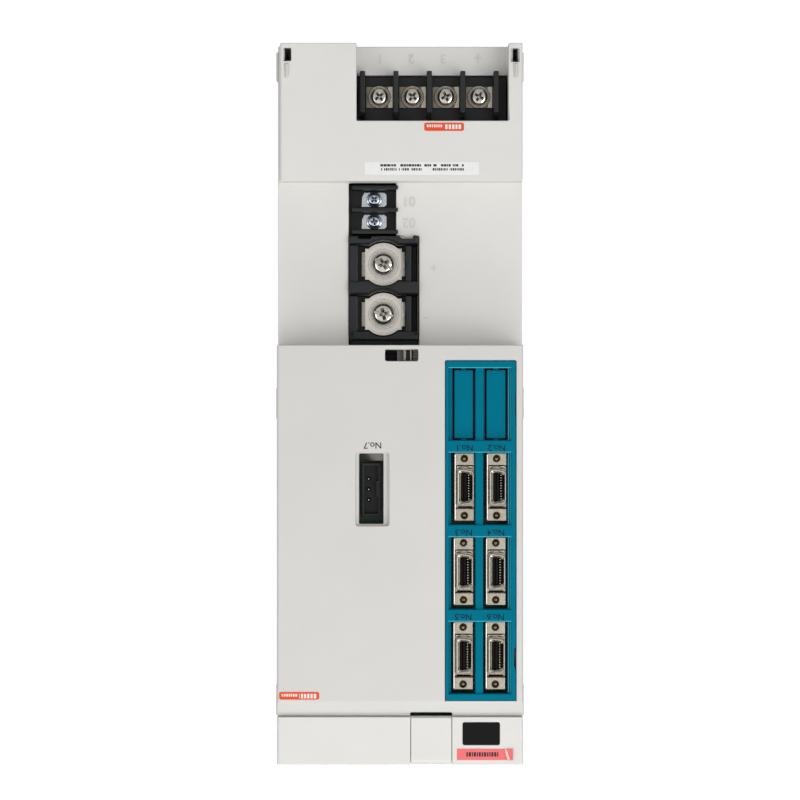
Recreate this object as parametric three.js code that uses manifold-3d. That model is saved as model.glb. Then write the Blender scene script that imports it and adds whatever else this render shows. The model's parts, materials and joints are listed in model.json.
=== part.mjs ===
// Panel-mounted servo drive of the 400 V class, 120 mm module width, as a three.js scene graph.
// Millimetres. +X is right and +Z up as the drive hangs in its cabinet, seen from the front; the front
// faces -Y. The origin is on the rear face of the mounting flange, in the middle of the lower pair of
// mounting slots. The cooling fins stand behind that face, through the cabinet's panel.
import * as THREE from "three";
import { mergeVertices } from "three/addons/utils/BufferGeometryUtils.js";
import Module from "manifold-3d";

const wasm = await Module();
wasm.setup();

// ---- Driving dimensions -------------------------------------------------------------------------
const GAP = 0.3; // clearance between pieces that meet
const WALL = 2.2; // moulded wall
const HALF_WIDTH = 59.5; // covers
const CASE = { half: 60, bottom: 5, top: 355, rear: -3 - GAP, front: -152 };
const HOLE_PITCH = { x: 60, z: 360 };
const FLANGE = { bottom: -10, top: 370, thickness: 3, slot: 6 };
const FRONT_FACE = -180; // front cover
const TOP_FACE = -178; // panel with the display, above the front cover
const FOOT = { left: -59.7, right: 58.5, top: 72.2, face: -168 }; // raised lower front, over the output terminals
const COVER = { bottom: 152.3, top: 331.8, bevel: 7.8, bevelDrop: 4.6 };
const EDGE_RADIUS = 1.5; // front vertical edges

// Openings in the front, each { left, right, bottom, top } in the front view.
const OUTPUT_RECESS = { left: -52.8, right: 21.2, bottom: CASE.bottom, top: 42.9 };
const OUTPUT_LEDGE = { top: 19.2, face: -151 };
const CONTROL_OPENING = { left: 1.9, right: 25.2, bottom: 71.5, top: 98.1 };
const DC_OPENING = { left: -9.3, right: 25.2, bottom: 98.1, top: 152.3 };
const BEZEL = { left: -56, right: -21.9, bottom: 159.8, top: 324 };
const BRAKE_SLOT = { left: 5.3, right: 21.4, bottom: 204.1, top: 239.6 };
const BRAKE_SLOT_INNER = { left: 8, right: 19.8, bottom: 208, top: 238.8 };
const LATCH_SLOT = { left: -8.8, right: 7.2, bottom: 154.6, top: 160 };
const WINDOW = { left: -48.3, right: -30.2, bottom: 334.5, top: 345.6 };
const FLAP = { left: -24.9, right: -5.3, bottom: 332.3, thickness: 2 };
const HINGE = { y: -175.3, z: 352.3, barrel: 2.7, pin: 1.2, pinLength: 2.2 };

// Connector bezel: four pockets, one above the other, each with two openings side by side.
const POCKET = { left: -53.7, right: -23.4, height: 35, pitch: 40.8, first: 163.4, depth: 3 };
const PORT_COLUMNS = [
  { x: -30.8, width: 10.9 },
  { x: -46.4, width: 11.1 },
];
// Signal ports sit a little off the middle of their openings, differently in each row.
const PORT_ROWS = [
  { z: 220.9, shift: -0.3 },
  { z: 261.7, shift: 0.1 },
  { z: 302.5, shift: 0.3 },
];
const BLANK_GAP = 0.95;

// Terminals: screw positions in the front view, and the levels their metal sits at.
const OUTPUT_TERMINALS = { x: [10.15, -6.18, -22.51, -38.84], z: 29.9, pitch: 16.33, top: -149 };
const DC_TERMINALS = { x: 8.2, z: [111.7, 136.4], top: -141 };
const CONTROL_TERMINALS = { x: 12.7, z: [79.9, 90.8], top: -143 };
const BARRIER_TOP = { output: -162, dc: -155, control: -154 };

const BOARD = { front: -160, thickness: 1.6 };
const POWER_BOARD = { front: -64, thickness: 1.6 };
const SINK = { halfWidth: 56, bottom: 16, top: 344, front: -13 - GAP, rear: -3 - GAP, finTip: 78 };
const FINS = { count: 15, thickness: 2.4, halfSpan: 49.5, bottom: 26, top: 296 };
const DUCT = { halfWidth: 51.5, rear: 80, front: 0.5, bottom: 24, top: 324.5, sheet: 1 };
const FAN = { size: 70, y: 39, bottom: 298.5, thickness: 25, bore: 33, hub: 14, tip: 31 };

// ---- Materials ----------------------------------------------------------------------------------
function material(color, roughness, metalness = 0) {
  return new THREE.MeshStandardMaterial({ color, roughness, metalness });
}
const greyPlastic = material(0xdddcd8, 0.55);
const tealPlastic = material(0x046f8c, 0.5);
const blackPlastic = material(0x1b1d1e, 0.5);
const smokedPlastic = material(0x101211, 0.15);
const boardGreen = material(0x1f5a3a, 0.6);
const nickel = material(0xb9b2a6, 0.35, 1);
const zinc = material(0xc3cbd6, 0.3, 1);
const aluminium = material(0xb4b7ba, 0.45, 1);
const steel = material(0x9a9da0, 0.45, 1);
const copper = material(0xb8724a, 0.35, 1);
const capacitorSleeve = material(0x26323f, 0.5);
const displayBody = material(0x2a2c2b, 0.6);

// ---- Solids -------------------------------------------------------------------------------------
// A closed three.js geometry as a manifold solid.
function solid(geometry) {
  const bare = geometry.index ? geometry.toNonIndexed() : geometry.clone();
  bare.deleteAttribute("normal");
  bare.deleteAttribute("uv");
  const merged = mergeVertices(bare, 1e-4);
  return new wasm.Manifold(
    new wasm.Mesh({
      numProp: 3,
      vertProperties: merged.attributes.position.array,
      triVerts: new Uint32Array(merged.index.array),
    }),
  );
}

function geometryOf(made) {
  const mesh = made.getMesh();
  const points = new Float32Array(mesh.numVert * 3);
  for (let i = 0; i < mesh.numVert; i++) {
    points.set(mesh.vertProperties.subarray(i * mesh.numProp, i * mesh.numProp + 3), i * 3);
  }
  return new THREE.BufferGeometry()
    .setAttribute("position", new THREE.BufferAttribute(points, 3))
    .setIndex(new THREE.BufferAttribute(mesh.triVerts, 1));
}

function join(first, ...others) {
  return others.flat().reduce((all, next) => all.add(next), first);
}

function cut(first, ...others) {
  return others.flat().reduce((left, next) => left.subtract(next), first);
}

// A box from its lowest to its highest corner.
function box([x0, y0, z0], [x1, y1, z1]) {
  const geometry = new THREE.BoxGeometry(x1 - x0, y1 - y0, z1 - z0);
  geometry.translate((x0 + x1) / 2, (y0 + y1) / 2, (z0 + z1) / 2);
  return solid(geometry);
}

// The box behind a front-view opening, from depth y0 to y1.
function boxBehind({ left, right, bottom, top }, y0, y1, grow = 0) {
  return box([left - grow, y0, bottom - grow], [right + grow, y1, top + grow]);
}

// A cylinder along an axis, from its lower end.
function rod(axis, radius, [x, y, z], length, sides = 24) {
  const geometry = new THREE.CylinderGeometry(radius, radius, length, sides);
  if (axis === "x") geometry.rotateZ(-Math.PI / 2);
  if (axis === "z") geometry.rotateX(Math.PI / 2);
  const along = { x: [length / 2, 0, 0], y: [0, length / 2, 0], z: [0, 0, length / 2] }[axis];
  geometry.translate(x + along[0], y + along[1], z + along[2]);
  return solid(geometry);
}

// A shape drawn in plan, (x, y), and extruded from z0 up to z1.
function extrudeUp(shape, z0, z1) {
  const geometry = new THREE.ExtrudeGeometry(shape, {
    depth: z1 - z0,
    bevelEnabled: false,
    curveSegments: 4,
  });
  geometry.translate(0, 0, z0);
  return solid(geometry);
}

// A shape drawn in the front view, (x, z), and extruded from its rear face to its front face.
function extrudeForward(shape, rear, front, curveSegments = 4) {
  const geometry = new THREE.ExtrudeGeometry(shape, {
    depth: rear - front,
    bevelEnabled: false,
    curveSegments,
  });
  geometry.rotateX(Math.PI / 2);
  geometry.translate(0, rear, 0);
  return solid(geometry);
}

// A polygon drawn from the side, (y, z), and extruded along X.
function extrudeAcross(points, x0, x1) {
  const shape = new THREE.Shape(points.map(([y, z]) => new THREE.Vector2(y, z)));
  const geometry = new THREE.ExtrudeGeometry(shape, { depth: x1 - x0, bevelEnabled: false });
  geometry.applyMatrix4(new THREE.Matrix4().set(0, 0, 1, x0, 1, 0, 0, 0, 0, 1, 0, 0, 0, 0, 0, 1));
  return solid(geometry);
}

function roundedRectangle({ left, right, bottom, top }, radius) {
  const shape = new THREE.Shape();
  shape.moveTo(left + radius, bottom);
  shape.lineTo(right - radius, bottom);
  shape.absarc(right - radius, bottom + radius, radius, -Math.PI / 2, 0);
  shape.lineTo(right, top - radius);
  shape.absarc(right - radius, top - radius, radius, 0, Math.PI / 2);
  shape.lineTo(left + radius, top);
  shape.absarc(left + radius, top - radius, radius, Math.PI / 2, Math.PI);
  shape.lineTo(left, bottom + radius);
  shape.absarc(left + radius, bottom + radius, radius, Math.PI, 1.5 * Math.PI);
  return shape;
}

// The plan of a shell: straight at the rear, rounded at its two front corners.
function shellPlan(left, right, front, rear, radius) {
  const shape = new THREE.Shape();
  shape.moveTo(right, rear);
  shape.lineTo(left, rear);
  shape.lineTo(left, front + radius);
  shape.absarc(left + radius, front + radius, radius, Math.PI, 1.5 * Math.PI);
  shape.lineTo(right - radius, front);
  shape.absarc(right - radius, front + radius, radius, -Math.PI / 2, 0);
  return shape;
}

// ---- Scene graph --------------------------------------------------------------------------------
const drive = new THREE.Group();

function place(name, made, look, [x, y, z] = [0, 0, 0], parent = drive) {
  const mesh = new THREE.Mesh(geometryOf(made), look);
  mesh.name = name;
  mesh.position.set(x, y, z);
  parent.add(mesh);
  return mesh;
}

// ---- Rear: flange, heat sink, duct and fan --------------------------------------------------------
function mountingFlange() {
  const window = { left: -53, right: 53, bottom: 20, top: 338 };
  let plate = box([-CASE.half, -FLANGE.thickness, FLANGE.bottom], [CASE.half, 0, FLANGE.top]);
  plate = cut(plate, boxBehind(window, -FLANGE.thickness - 1, 1));
  const radius = FLANGE.slot / 2;
  for (const x of [-HOLE_PITCH.x / 2, HOLE_PITCH.x / 2]) {
    const through = -FLANGE.thickness - 1;
    plate = cut(
      plate,
      rod("y", radius, [x, through, 0], FLANGE.thickness + 2, 20),
      box([x - radius, through, FLANGE.bottom - 1], [x + radius, 1, 0]),
      rod("y", radius, [x, through, HOLE_PITCH.z], FLANGE.thickness + 2, 20),
    );
  }
  return plate;
}

function heatSink() {
  const base = box([-SINK.halfWidth, SINK.front, SINK.bottom], [SINK.halfWidth, SINK.rear, SINK.top]);
  const step = (2 * FINS.halfSpan - FINS.thickness) / (FINS.count - 1);
  const fins = Array.from({ length: FINS.count }, (_, i) => {
    const x = -FINS.halfSpan + i * step;
    return box([x, SINK.rear - 1, FINS.bottom], [x + FINS.thickness, SINK.finTip, FINS.top]);
  });
  return join(base, fins);
}

function airDuct() {
  const { halfWidth, rear, front, bottom, top, sheet } = DUCT;
  const outer = box([-halfWidth, front, bottom], [halfWidth, rear, top]);
  const inner = box(
    [-halfWidth + sheet, front - 1, bottom - 1],
    [halfWidth - sheet, rear - sheet, top - sheet],
  );
  return cut(outer, inner, rod("z", FAN.bore + 1, [0, FAN.y, top - 5], 10, 32));
}

function fanFrame() {
  const half = FAN.size / 2;
  const top = FAN.bottom + FAN.thickness - GAP;
  const middle = { lower: FAN.bottom + 5, upper: top - 5 };
  let frame = box([-half, FAN.y - half, FAN.bottom], [half, FAN.y + half, top]);
  // Between its two square flanges the frame is a round ring.
  const waist = cut(
    box([-half - 1, FAN.y - half - 1, middle.lower], [half + 1, FAN.y + half + 1, middle.upper]),
    rod("z", half - 0.2, [0, FAN.y, middle.lower - 1], middle.upper - middle.lower + 2, 24),
  );
  frame = cut(frame, waist, rod("z", FAN.bore, [0, FAN.y, FAN.bottom - 1], FAN.thickness + 2, 24));
  const strut = (angle) => {
    const geometry = new THREE.BoxGeometry(FAN.bore + 0.6, 4, 2.5);
    geometry.translate((FAN.bore + 0.6) / 2, 0, FAN.bottom + 1.25);
    geometry.rotateZ(angle);
    geometry.translate(0, FAN.y, 0);
    return solid(geometry);
  };
  const motorSeat = rod("z", FAN.hub, [0, FAN.y, FAN.bottom], 2.5, 18);
  return join(frame, motorSeat, [0.6, 2.694, 4.789].map(strut));
}

// The rotor is drawn about its own axis, with its lower end at height 0.
function fanRotor() {
  const height = 19;
  const blade = (angle) => {
    const geometry = new THREE.BoxGeometry(FAN.tip - FAN.hub + 2, 1.4, 20);
    geometry.rotateX(0.75);
    geometry.translate((FAN.tip + FAN.hub) / 2 - 1, 0, height / 2);
    geometry.rotateZ(angle);
    return solid(geometry);
  };
  const blades = Array.from({ length: 7 }, (_, i) => blade((i * 2 * Math.PI) / 7));
  return join(rod("z", FAN.hub, [0, 0, 0], height, 18), blades);
}

// Wire finger guard: rings joined by four spokes that end at the fan's screw corners.
function fanGuard() {
  const wire = 1;
  const sides = 5;
  const rings = [12, 21, 30].map((radius) => solid(new THREE.TorusGeometry(radius, wire, sides, 20)));
  const reach = 42;
  const spokes = [Math.PI / 4, (3 * Math.PI) / 4].map((angle) => {
    const geometry = new THREE.CylinderGeometry(wire, wire, 2 * reach, sides);
    geometry.rotateZ(angle);
    return solid(geometry);
  });
  return join(rings[0], rings.slice(1), spokes);
}

// ---- Case -----------------------------------------------------------------------------------------
// A row of ventilation slots cut through a wall; across says how far the row runs along X or Y.
function slots(count, start, step, slotBox) {
  return Array.from({ length: count }, (_, i) => slotBox(start + i * step));
}

function caseVents() {
  const width = 4;
  const rows = [
    [-140, -95],
    [-80, -35],
  ];
  const ends = [
    [CASE.bottom - 1, CASE.bottom + WALL + 1],
    [CASE.top - WALL - 1, CASE.top + 1],
  ];
  const endSlots = ends.flatMap(([z0, z1]) =>
    rows.flatMap(([y0, y1]) => slots(8, -50, 13.7, (x) => box([x, y0, z0], [x + width, y1, z1]))),
  );
  const sides = [
    [-CASE.half - 1, -CASE.half + WALL + 1],
    [CASE.half - WALL - 1, CASE.half + 1],
  ];
  const sideSlots = sides.flatMap(([x0, x1]) =>
    [30, 296].flatMap((start) => slots(5, start, 9, (z) => box([x0, -112, z], [x1, -52, z + 3.5]))),
  );
  return [...endSlots, ...sideSlots];
}

// Small proud pads on the sides, where the front cover's snaps catch.
function sideCatches() {
  const proud = 0.9;
  const front = CASE.front + 0.1;
  const reach = (z0, z1) => [
    box([CASE.half - 1, front, z0], [CASE.half + proud, front + 9, z1]),
    box([-CASE.half - proud, front, z0], [-CASE.half + 1, front + 9, z1]),
  ];
  return [...reach(173, 188), ...reach(318.8, 333.8), ...reach(8, 22)];
}

function mainCase() {
  const body = box([-CASE.half, CASE.front, CASE.bottom], [CASE.half, CASE.rear, CASE.top]);
  const footPlan = shellPlan(FOOT.left, FOOT.right, FOOT.face, CASE.front + 5, EDGE_RADIUS);
  const foot = extrudeUp(footPlan, CASE.bottom, FOOT.top);
  const inner = { left: -CASE.half + WALL, right: CASE.half - WALL };
  const hollow = box(
    [inner.left, CASE.front + WALL, CASE.bottom + WALL],
    [inner.right, CASE.rear + 1, CASE.top - WALL],
  );
  const footHollow = box(
    [FOOT.left + WALL, FOOT.face + WALL, CASE.bottom + WALL],
    [FOOT.right - WALL, CASE.front + WALL + 1, FOOT.top - WALL],
  );
  const coverOpening = box(
    [inner.left, CASE.front - 1, COVER.bottom + WALL],
    [inner.right, CASE.front + WALL + 1, CASE.top - WALL],
  );
  let shell = cut(join(body, foot), hollow, footHollow, coverOpening);

  // Output terminal recess: its own walls and ledge, open at the bottom end.
  const recess = { ...OUTPUT_RECESS, bottom: CASE.bottom - 1 };
  const recessWalls = box(
    [OUTPUT_RECESS.left - WALL, FOOT.face, CASE.bottom],
    [OUTPUT_RECESS.right + WALL, OUTPUT_LEDGE.face + WALL, OUTPUT_RECESS.top + WALL],
  );
  const blockOpening = { ...OUTPUT_RECESS, bottom: OUTPUT_LEDGE.top };
  shell = join(shell, recessWalls, sideCatches());
  shell = cut(
    shell,
    boxBehind(recess, FOOT.face - 1, OUTPUT_LEDGE.face),
    boxBehind(blockOpening, FOOT.face - 1, OUTPUT_LEDGE.face + WALL + 1),
  );

  // Openings for the other two terminal blocks, and the hook holes in the foot's two lower corners.
  const control = { ...CONTROL_OPENING, bottom: FOOT.top, top: CONTROL_OPENING.top + 1 };
  const dc = { ...DC_OPENING, top: DC_OPENING.top + WALL + 1 };
  const hookHoles = [
    { left: 53, right: 56.6, bottom: 7.4, top: 13.8 },
    { left: -57.4, right: -53.8, bottom: 7.6, top: 14.2 },
  ];
  return cut(
    shell,
    boxBehind(control, CASE.front - 1, CASE.front + WALL + 1),
    boxBehind(dc, CASE.front - 1, CASE.front + WALL + 1),
    hookHoles.map((hole) => boxBehind(hole, FOOT.face - 1, FOOT.face + WALL + 1)),
    caseVents(),
  );
}

// ---- Front cover and connector bezel --------------------------------------------------------------
function frontCover() {
  const rear = CASE.front - GAP;
  const plan = shellPlan(-HALF_WIDTH, HALF_WIDTH, FRONT_FACE, rear, EDGE_RADIUS);
  const outer = extrudeUp(plan, COVER.bottom, COVER.top);
  const hollow = box(
    [-HALF_WIDTH + WALL, FRONT_FACE + WALL, COVER.bottom + WALL],
    [HALF_WIDTH - WALL, rear + 1, COVER.top - WALL],
  );
  const bevel = extrudeAcross(
    [
      [FRONT_FACE - 1, COVER.top - COVER.bevel - COVER.bevel / COVER.bevelDrop],
      [FRONT_FACE + COVER.bevelDrop, COVER.top],
      [FRONT_FACE + COVER.bevelDrop, COVER.top + 1],
      [FRONT_FACE - 1, COVER.top + 1],
    ],
    -HALF_WIDTH - 1,
    HALF_WIDTH + 1,
  );
  // Behind the bevel the wall is thickened, so that the slope does not break through.
  const backing = box(
    [-HALF_WIDTH + WALL - 1, FRONT_FACE + WALL - 0.5, COVER.top - COVER.bevel + 1.2],
    [HALF_WIDTH - WALL + 1, FRONT_FACE + COVER.bevelDrop + WALL, COVER.top - WALL + 0.5],
  );
  // A sleeve behind the brake connector's slot carries its sloping sides inwards.
  const sleeve = boxBehind(BRAKE_SLOT, FRONT_FACE + 1, -171.6, 1.2);
  // The upper wall is only a lip, so the boards behind it pass on up into the top cover.
  const behindLip = box(
    [-HALF_WIDTH + WALL, FRONT_FACE + 12, COVER.bottom + WALL + 2],
    [HALF_WIDTH - WALL, rear + 1, COVER.top + 1],
  );
  let cover = join(cut(outer, hollow), backing, sleeve);
  cover = cut(cover, bevel, behindLip);

  const fingerNotch = {
    left: FLAP.left - GAP,
    right: FLAP.right + GAP,
    bottom: COVER.top - 1.9,
    top: COVER.top + 1,
  };
  const slotShape = roundedRectangle(BRAKE_SLOT, 1.2);
  cover = cut(
    cover,
    boxBehind(BEZEL, FRONT_FACE - 1, FRONT_FACE + WALL + 1, GAP / 2),
    boxBehind(fingerNotch, FRONT_FACE, FRONT_FACE + 12),
    extrudeForward(slotShape, FRONT_FACE + 3, FRONT_FACE - 1),
    boxBehind(BRAKE_SLOT_INNER, FRONT_FACE - 1, -170),
    extrudeForward(roundedRectangle(LATCH_SLOT, 1), FRONT_FACE + WALL + 1, FRONT_FACE - 1),
  );
  // The lower wall is notched where the DC terminal block runs on under the cover.
  const blockNotch = { ...DC_OPENING, bottom: COVER.bottom - 1, top: COVER.bottom + WALL + 1 };
  return cut(cover, boxBehind(blockNotch, BARRIER_TOP.dc - 1, rear + 1));
}

function connectorBezel() {
  const face = FRONT_FACE - 0.2;
  const floor = face + POCKET.depth;
  const rear = floor + 2;
  let bezel = boxBehind(BEZEL, face, rear, -GAP / 2);
  for (let row = 0; row < 4; row++) {
    const bottom = POCKET.first + row * POCKET.pitch;
    const pocket = { left: POCKET.left, right: POCKET.right, bottom, top: bottom + POCKET.height };
    bezel = cut(bezel, boxBehind(pocket, face - 1, floor));
    for (const { x, width } of PORT_COLUMNS) {
      const opening = {
        left: x - width / 2,
        right: x + width / 2,
        bottom,
        top: bottom + POCKET.height - 0.2,
      };
      bezel = cut(bezel, boxBehind(opening, face - 1, rear + 1));
      // The lowest pair is closed by knock-out blanks, each held by two thin bridges.
      if (row === 0) {
        const blank = boxBehind(opening, floor - 0.2, rear, -BLANK_GAP);
        const bridge = box([x - 1.2, floor + 0.6, bottom - 1], [x + 1.2, rear, bottom + POCKET.height + 1]);
        bezel = join(bezel, blank, bridge);
      }
    }
  }
  const snapNotches = [175.5, 298.5].map((bottom) =>
    box([BEZEL.left - 1, face - 1, bottom], [BEZEL.left + 1, rear + 1, bottom + 11]),
  );
  return cut(bezel, snapNotches);
}

// ---- Top panel: display, flap and switch ----------------------------------------------------------
function topCover() {
  const bottom = COVER.top + GAP;
  const rear = CASE.front - GAP;
  const outer = extrudeUp(
    shellPlan(-HALF_WIDTH, HALF_WIDTH, TOP_FACE, rear, EDGE_RADIUS),
    bottom,
    CASE.top,
  );
  const hollow = box(
    [-HALF_WIDTH + WALL, TOP_FACE + WALL, bottom - 1],
    [HALF_WIDTH - WALL, rear + 1, CASE.top - WALL],
  );
  // Two bosses behind the corner hold the flap's hinge pins.
  const bossDepth = 5.8;
  const bosses = [
    [FLAP.left - GAP - 3, FLAP.left - GAP],
    [FLAP.right + GAP, FLAP.right + GAP + 3],
  ].map(([x0, x1]) => box([x0, TOP_FACE + 1, CASE.top - bossDepth], [x1, TOP_FACE + bossDepth, CASE.top - 1]));
  // The flap lies in a step, on a rim round the opening to the switch.
  const step = { left: FLAP.left - GAP, right: FLAP.right + GAP, bottom: bottom - 1, top: CASE.top + 1 };
  const opening = { left: FLAP.left + 1.2, right: FLAP.right - 1.2, bottom: bottom + 2, top: HINGE.z };
  const rim = box(
    [FLAP.left - 1, TOP_FACE + FLAP.thickness + GAP, bottom],
    [FLAP.right + 1, TOP_FACE + FLAP.thickness + GAP + 1.6, CASE.top - 1],
  );
  const hingeX = step.left;
  const hingeLength = step.right - step.left;
  let panel = join(cut(outer, hollow), bosses, rim);
  panel = cut(
    panel,
    boxBehind(step, TOP_FACE - 1, TOP_FACE + FLAP.thickness + GAP),
    boxBehind(opening, TOP_FACE - 1, TOP_FACE + 8),
    rod("x", HINGE.barrel + 0.5, [hingeX, HINGE.y, HINGE.z], hingeLength, 28),
    box([hingeX, TOP_FACE - 1, HINGE.z], [step.right, HINGE.y + HINGE.barrel + 0.5, CASE.top + 1]),
    rod("x", HINGE.pin + GAP, [hingeX - HINGE.pinLength - GAP, HINGE.y, HINGE.z], hingeLength + 5, 20),
  );
  return cut(panel, extrudeForward(roundedRectangle(WINDOW, 1), TOP_FACE + WALL + 1, TOP_FACE - 1));
}

// Drawn about its hinge axis.
function accessFlap() {
  const plate = box(
    [FLAP.left, TOP_FACE - HINGE.y, FLAP.bottom - HINGE.z],
    [FLAP.right, TOP_FACE - HINGE.y + FLAP.thickness, 0],
  );
  const width = FLAP.right - FLAP.left;
  const barrel = rod("x", HINGE.barrel, [FLAP.left, 0, 0], width, 28);
  const pins = rod("x", HINGE.pin, [FLAP.left - HINGE.pinLength, 0, 0], width + 2 * HINGE.pinLength, 16);
  return join(plate, barrel, pins);
}

function displayWindow() {
  const inner = {
    left: WINDOW.left + GAP / 2,
    right: WINDOW.right - GAP / 2,
    bottom: WINDOW.bottom + GAP / 2,
    top: WINDOW.top - GAP / 2,
  };
  return extrudeForward(roundedRectangle(inner, 0.9), TOP_FACE + WALL, TOP_FACE + 0.3);
}

// ---- Electronics ----------------------------------------------------------------------------------
function controlBoard() {
  const rear = BOARD.front + BOARD.thickness;
  const board = box([-55.5, BOARD.front, 166], [55.5, rear, 350]);
  const holes = [
    [-50, 158 + 12],
    [50, 158 + 12],
    [0, 345],
    [50, 345],
  ].map(([x, z]) => rod("y", 1.8, [x, BOARD.front - 1, z], 4, 12));
  return cut(board, holes);
}

// Sheet carrier behind the control board, with four stand-offs that the board is screwed to.
function boardCarrier() {
  const front = BOARD.front + BOARD.thickness + 4;
  const half = HALF_WIDTH - WALL - GAP;
  const sheet = box([-half, front, 162], [half, front + 1.2, 350]);
  const lips = [-half, half - 1.2].map((x) => box([x, front, 162], [x + 1.2, -132, 350]));
  const posts = [
    [-50, 170],
    [50, 170],
    [0, 345],
    [50, 345],
  ].map(([x, z]) => rod("y", 3, [x, BOARD.front + BOARD.thickness + GAP, z], 5, 10));
  return join(sheet, lips, posts);
}

// D-shaped outline of a signal port, wide along Z; the longer straight side faces +X.
function portOutline(halfWidth, halfLength, radius) {
  const slope = 1.2;
  const corners = [
    [halfWidth, -halfLength],
    [halfWidth, halfLength],
    [-halfWidth, halfLength - slope],
    [-halfWidth, -halfLength + slope],
  ];
  const shape = new THREE.Shape();
  corners.forEach(([x, z], i) => {
    const [px, pz] = corners[(i + 3) % 4];
    const [nx, nz] = corners[(i + 1) % 4];
    const before = new THREE.Vector2(px - x, pz - z).setLength(radius);
    const after = new THREE.Vector2(nx - x, nz - z).setLength(radius);
    if (i === 0) shape.moveTo(x + before.x, z + before.y);
    else shape.lineTo(x + before.x, z + before.y);
    shape.quadraticCurveTo(x, z, x + after.x, z + after.y);
  });
  return shape;
}

// Drawn about the centre of its opening, with depth 0 at the front cover's face.
const PORT = {
  rim: 1.6,
  ears: 4,
  plate: 6.6,
  halfHeight: 16.3,
  halfWidth: 4.8,
  earLength: 7.4,
  mouthShift: -0.9,
  bodyEnd: 20 - GAP,
};

function signalPortShell() {
  const { rim, ears, plate, halfHeight, halfWidth, earLength, mouthShift } = PORT;
  const base = box([-halfWidth, plate, -halfHeight], [halfWidth, plate + 1, halfHeight]);
  const skirt = box([-halfWidth, plate, -9.2], [halfWidth, plate + 3, 9.2]);
  const earBlocks = [-1, 1].map((side) => {
    const [z0, z1] = side < 0 ? [-halfHeight, -halfHeight + earLength] : [halfHeight - earLength, halfHeight];
    return box([-halfWidth, ears, z0], [halfWidth, plate + 0.5, z1]);
  });
  const wall = extrudeForward(portOutline(3.7, 8.8, 1.6), plate + 0.5, rim, 2).translate([mouthShift, 0, 0]);
  const opening = extrudeForward(portOutline(2.7, 7.5, 1), plate + 8, rim - 1, 2).translate([mouthShift, 0, 0]);
  const threads = [-1, 1].map((side) =>
    rod("y", 1.7, [0, ears - 1, side * (halfHeight - earLength / 2)], 3.4, 12),
  );
  return cut(join(base, skirt, earBlocks, wall), opening, threads);
}

function signalPortInsert() {
  const { plate, bodyEnd, mouthShift } = PORT;
  const outline = portOutline(2.7 - GAP, 7.5 - GAP, 0.8);
  const head = extrudeForward(outline, plate + 5, plate + 0.6, 2).translate([mouthShift, 0, 0]);
  const body = box([-4.2, plate + 3 + GAP, -14], [4.2, bodyEnd, 14]);
  const tongueSlot = box([mouthShift - 1, plate, -6.4], [mouthShift + 1, plate + 4, 6.4]);
  return cut(join(head, body), tongueSlot);
}

const BRAKE_PORT = { left: 9.4, right: 18.6, bottom: 209.4, top: 235.2, front: -169.4 };

const BRAKE_PINS = { x: 15.2, z: [217.2, 222.3, 227.4], half: 0.5 };

function brakePortHousing() {
  const { x, z, half } = BRAKE_PINS;
  const floor = { front: BOARD.front - 3.6, rear: BOARD.front - 2 };
  const outer = boxBehind(BRAKE_PORT, BRAKE_PORT.front, BOARD.front - GAP);
  const inner = boxBehind(BRAKE_PORT, BRAKE_PORT.front - 1, floor.front, -1.2);
  const key = box([BRAKE_PORT.left + 1, BRAKE_PORT.front, 218], [BRAKE_PORT.left + 2.2, floor.front + 1, 226]);
  const pinHoles = z.map((pz) =>
    boxBehind({ left: x, right: x, bottom: pz, top: pz }, floor.front - 1, floor.rear + 1, half + GAP),
  );
  const stripRoom = box([x - 1.2, floor.rear, z[0] - 2], [x + 1.2, BOARD.front, z[2] + 2]);
  return cut(join(cut(outer, inner), key), pinHoles, stripRoom);
}

function brakePortPins() {
  const { x, z, half } = BRAKE_PINS;
  const strip = box([x - 0.8, BOARD.front - 1.6, z[0] - 1.4], [x + 0.8, BOARD.front - 0.6, z[2] + 1.4]);
  const pins = z.map((pz) =>
    box([x - half, BRAKE_PORT.front + 1.5, pz - half], [x + half, BOARD.front - 1, pz + half]),
  );
  return join(strip, pins);
}

// Seven-segment module on the control board, behind the window.
function segmentDisplay() {
  return box([WINDOW.left + 0.2, -174.6, WINDOW.bottom - 0.6], [WINDOW.right - 0.2, BOARD.front - GAP, 346.2]);
}

const AXIS_SWITCH = { x: -15.1, z: 342, half: 5, front: -171.6, dial: 3.2 };

function axisSwitchBody() {
  const { x, z, half, front, dial } = AXIS_SWITCH;
  const body = box([x - half, front, z - half], [x + half, BOARD.front - GAP, z + half]);
  return cut(body, rod("y", dial + 0.2, [x, front - 1, z], 2.6, 24));
}

// Drawn about its own axis, from its front face.
function axisSwitchDial() {
  const disc = rod("y", AXIS_SWITCH.dial, [0, 0, 0], 1.4, 24);
  return cut(disc, box([-0.5, -1, -2.4], [0.5, 0.7, 2.4]));
}

// The posts that carry the power board stand on the heat sink; its pins run down to the power module.
function powerBoard() {
  const { front, thickness } = POWER_BOARD;
  const rear = front + thickness;
  const board = box([-55, front, 60], [55, rear, 340]);
  const posts = [64, 200, 336].flatMap((z) =>
    [-51, 51].map((x) => rod("y", 3, [x, rear - 0.5, z], SINK.front - GAP - rear + 0.5, 8)),
  );
  const pins = [84, 131, 178].flatMap((z) =>
    [-28, 28].map((x) => box([x - 2, rear - 0.5, z - 2], [x + 2, -30 - GAP, z + 2])),
  );
  return join(board, posts, pins);
}

function powerModule() {
  const body = box([-35, -30, 70], [35, SINK.front - GAP, 192]);
  const lugs = [54, 188].map((z) => box([-12, -18, z], [12, SINK.front - GAP, z + 18]));
  return join(body, lugs);
}

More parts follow.
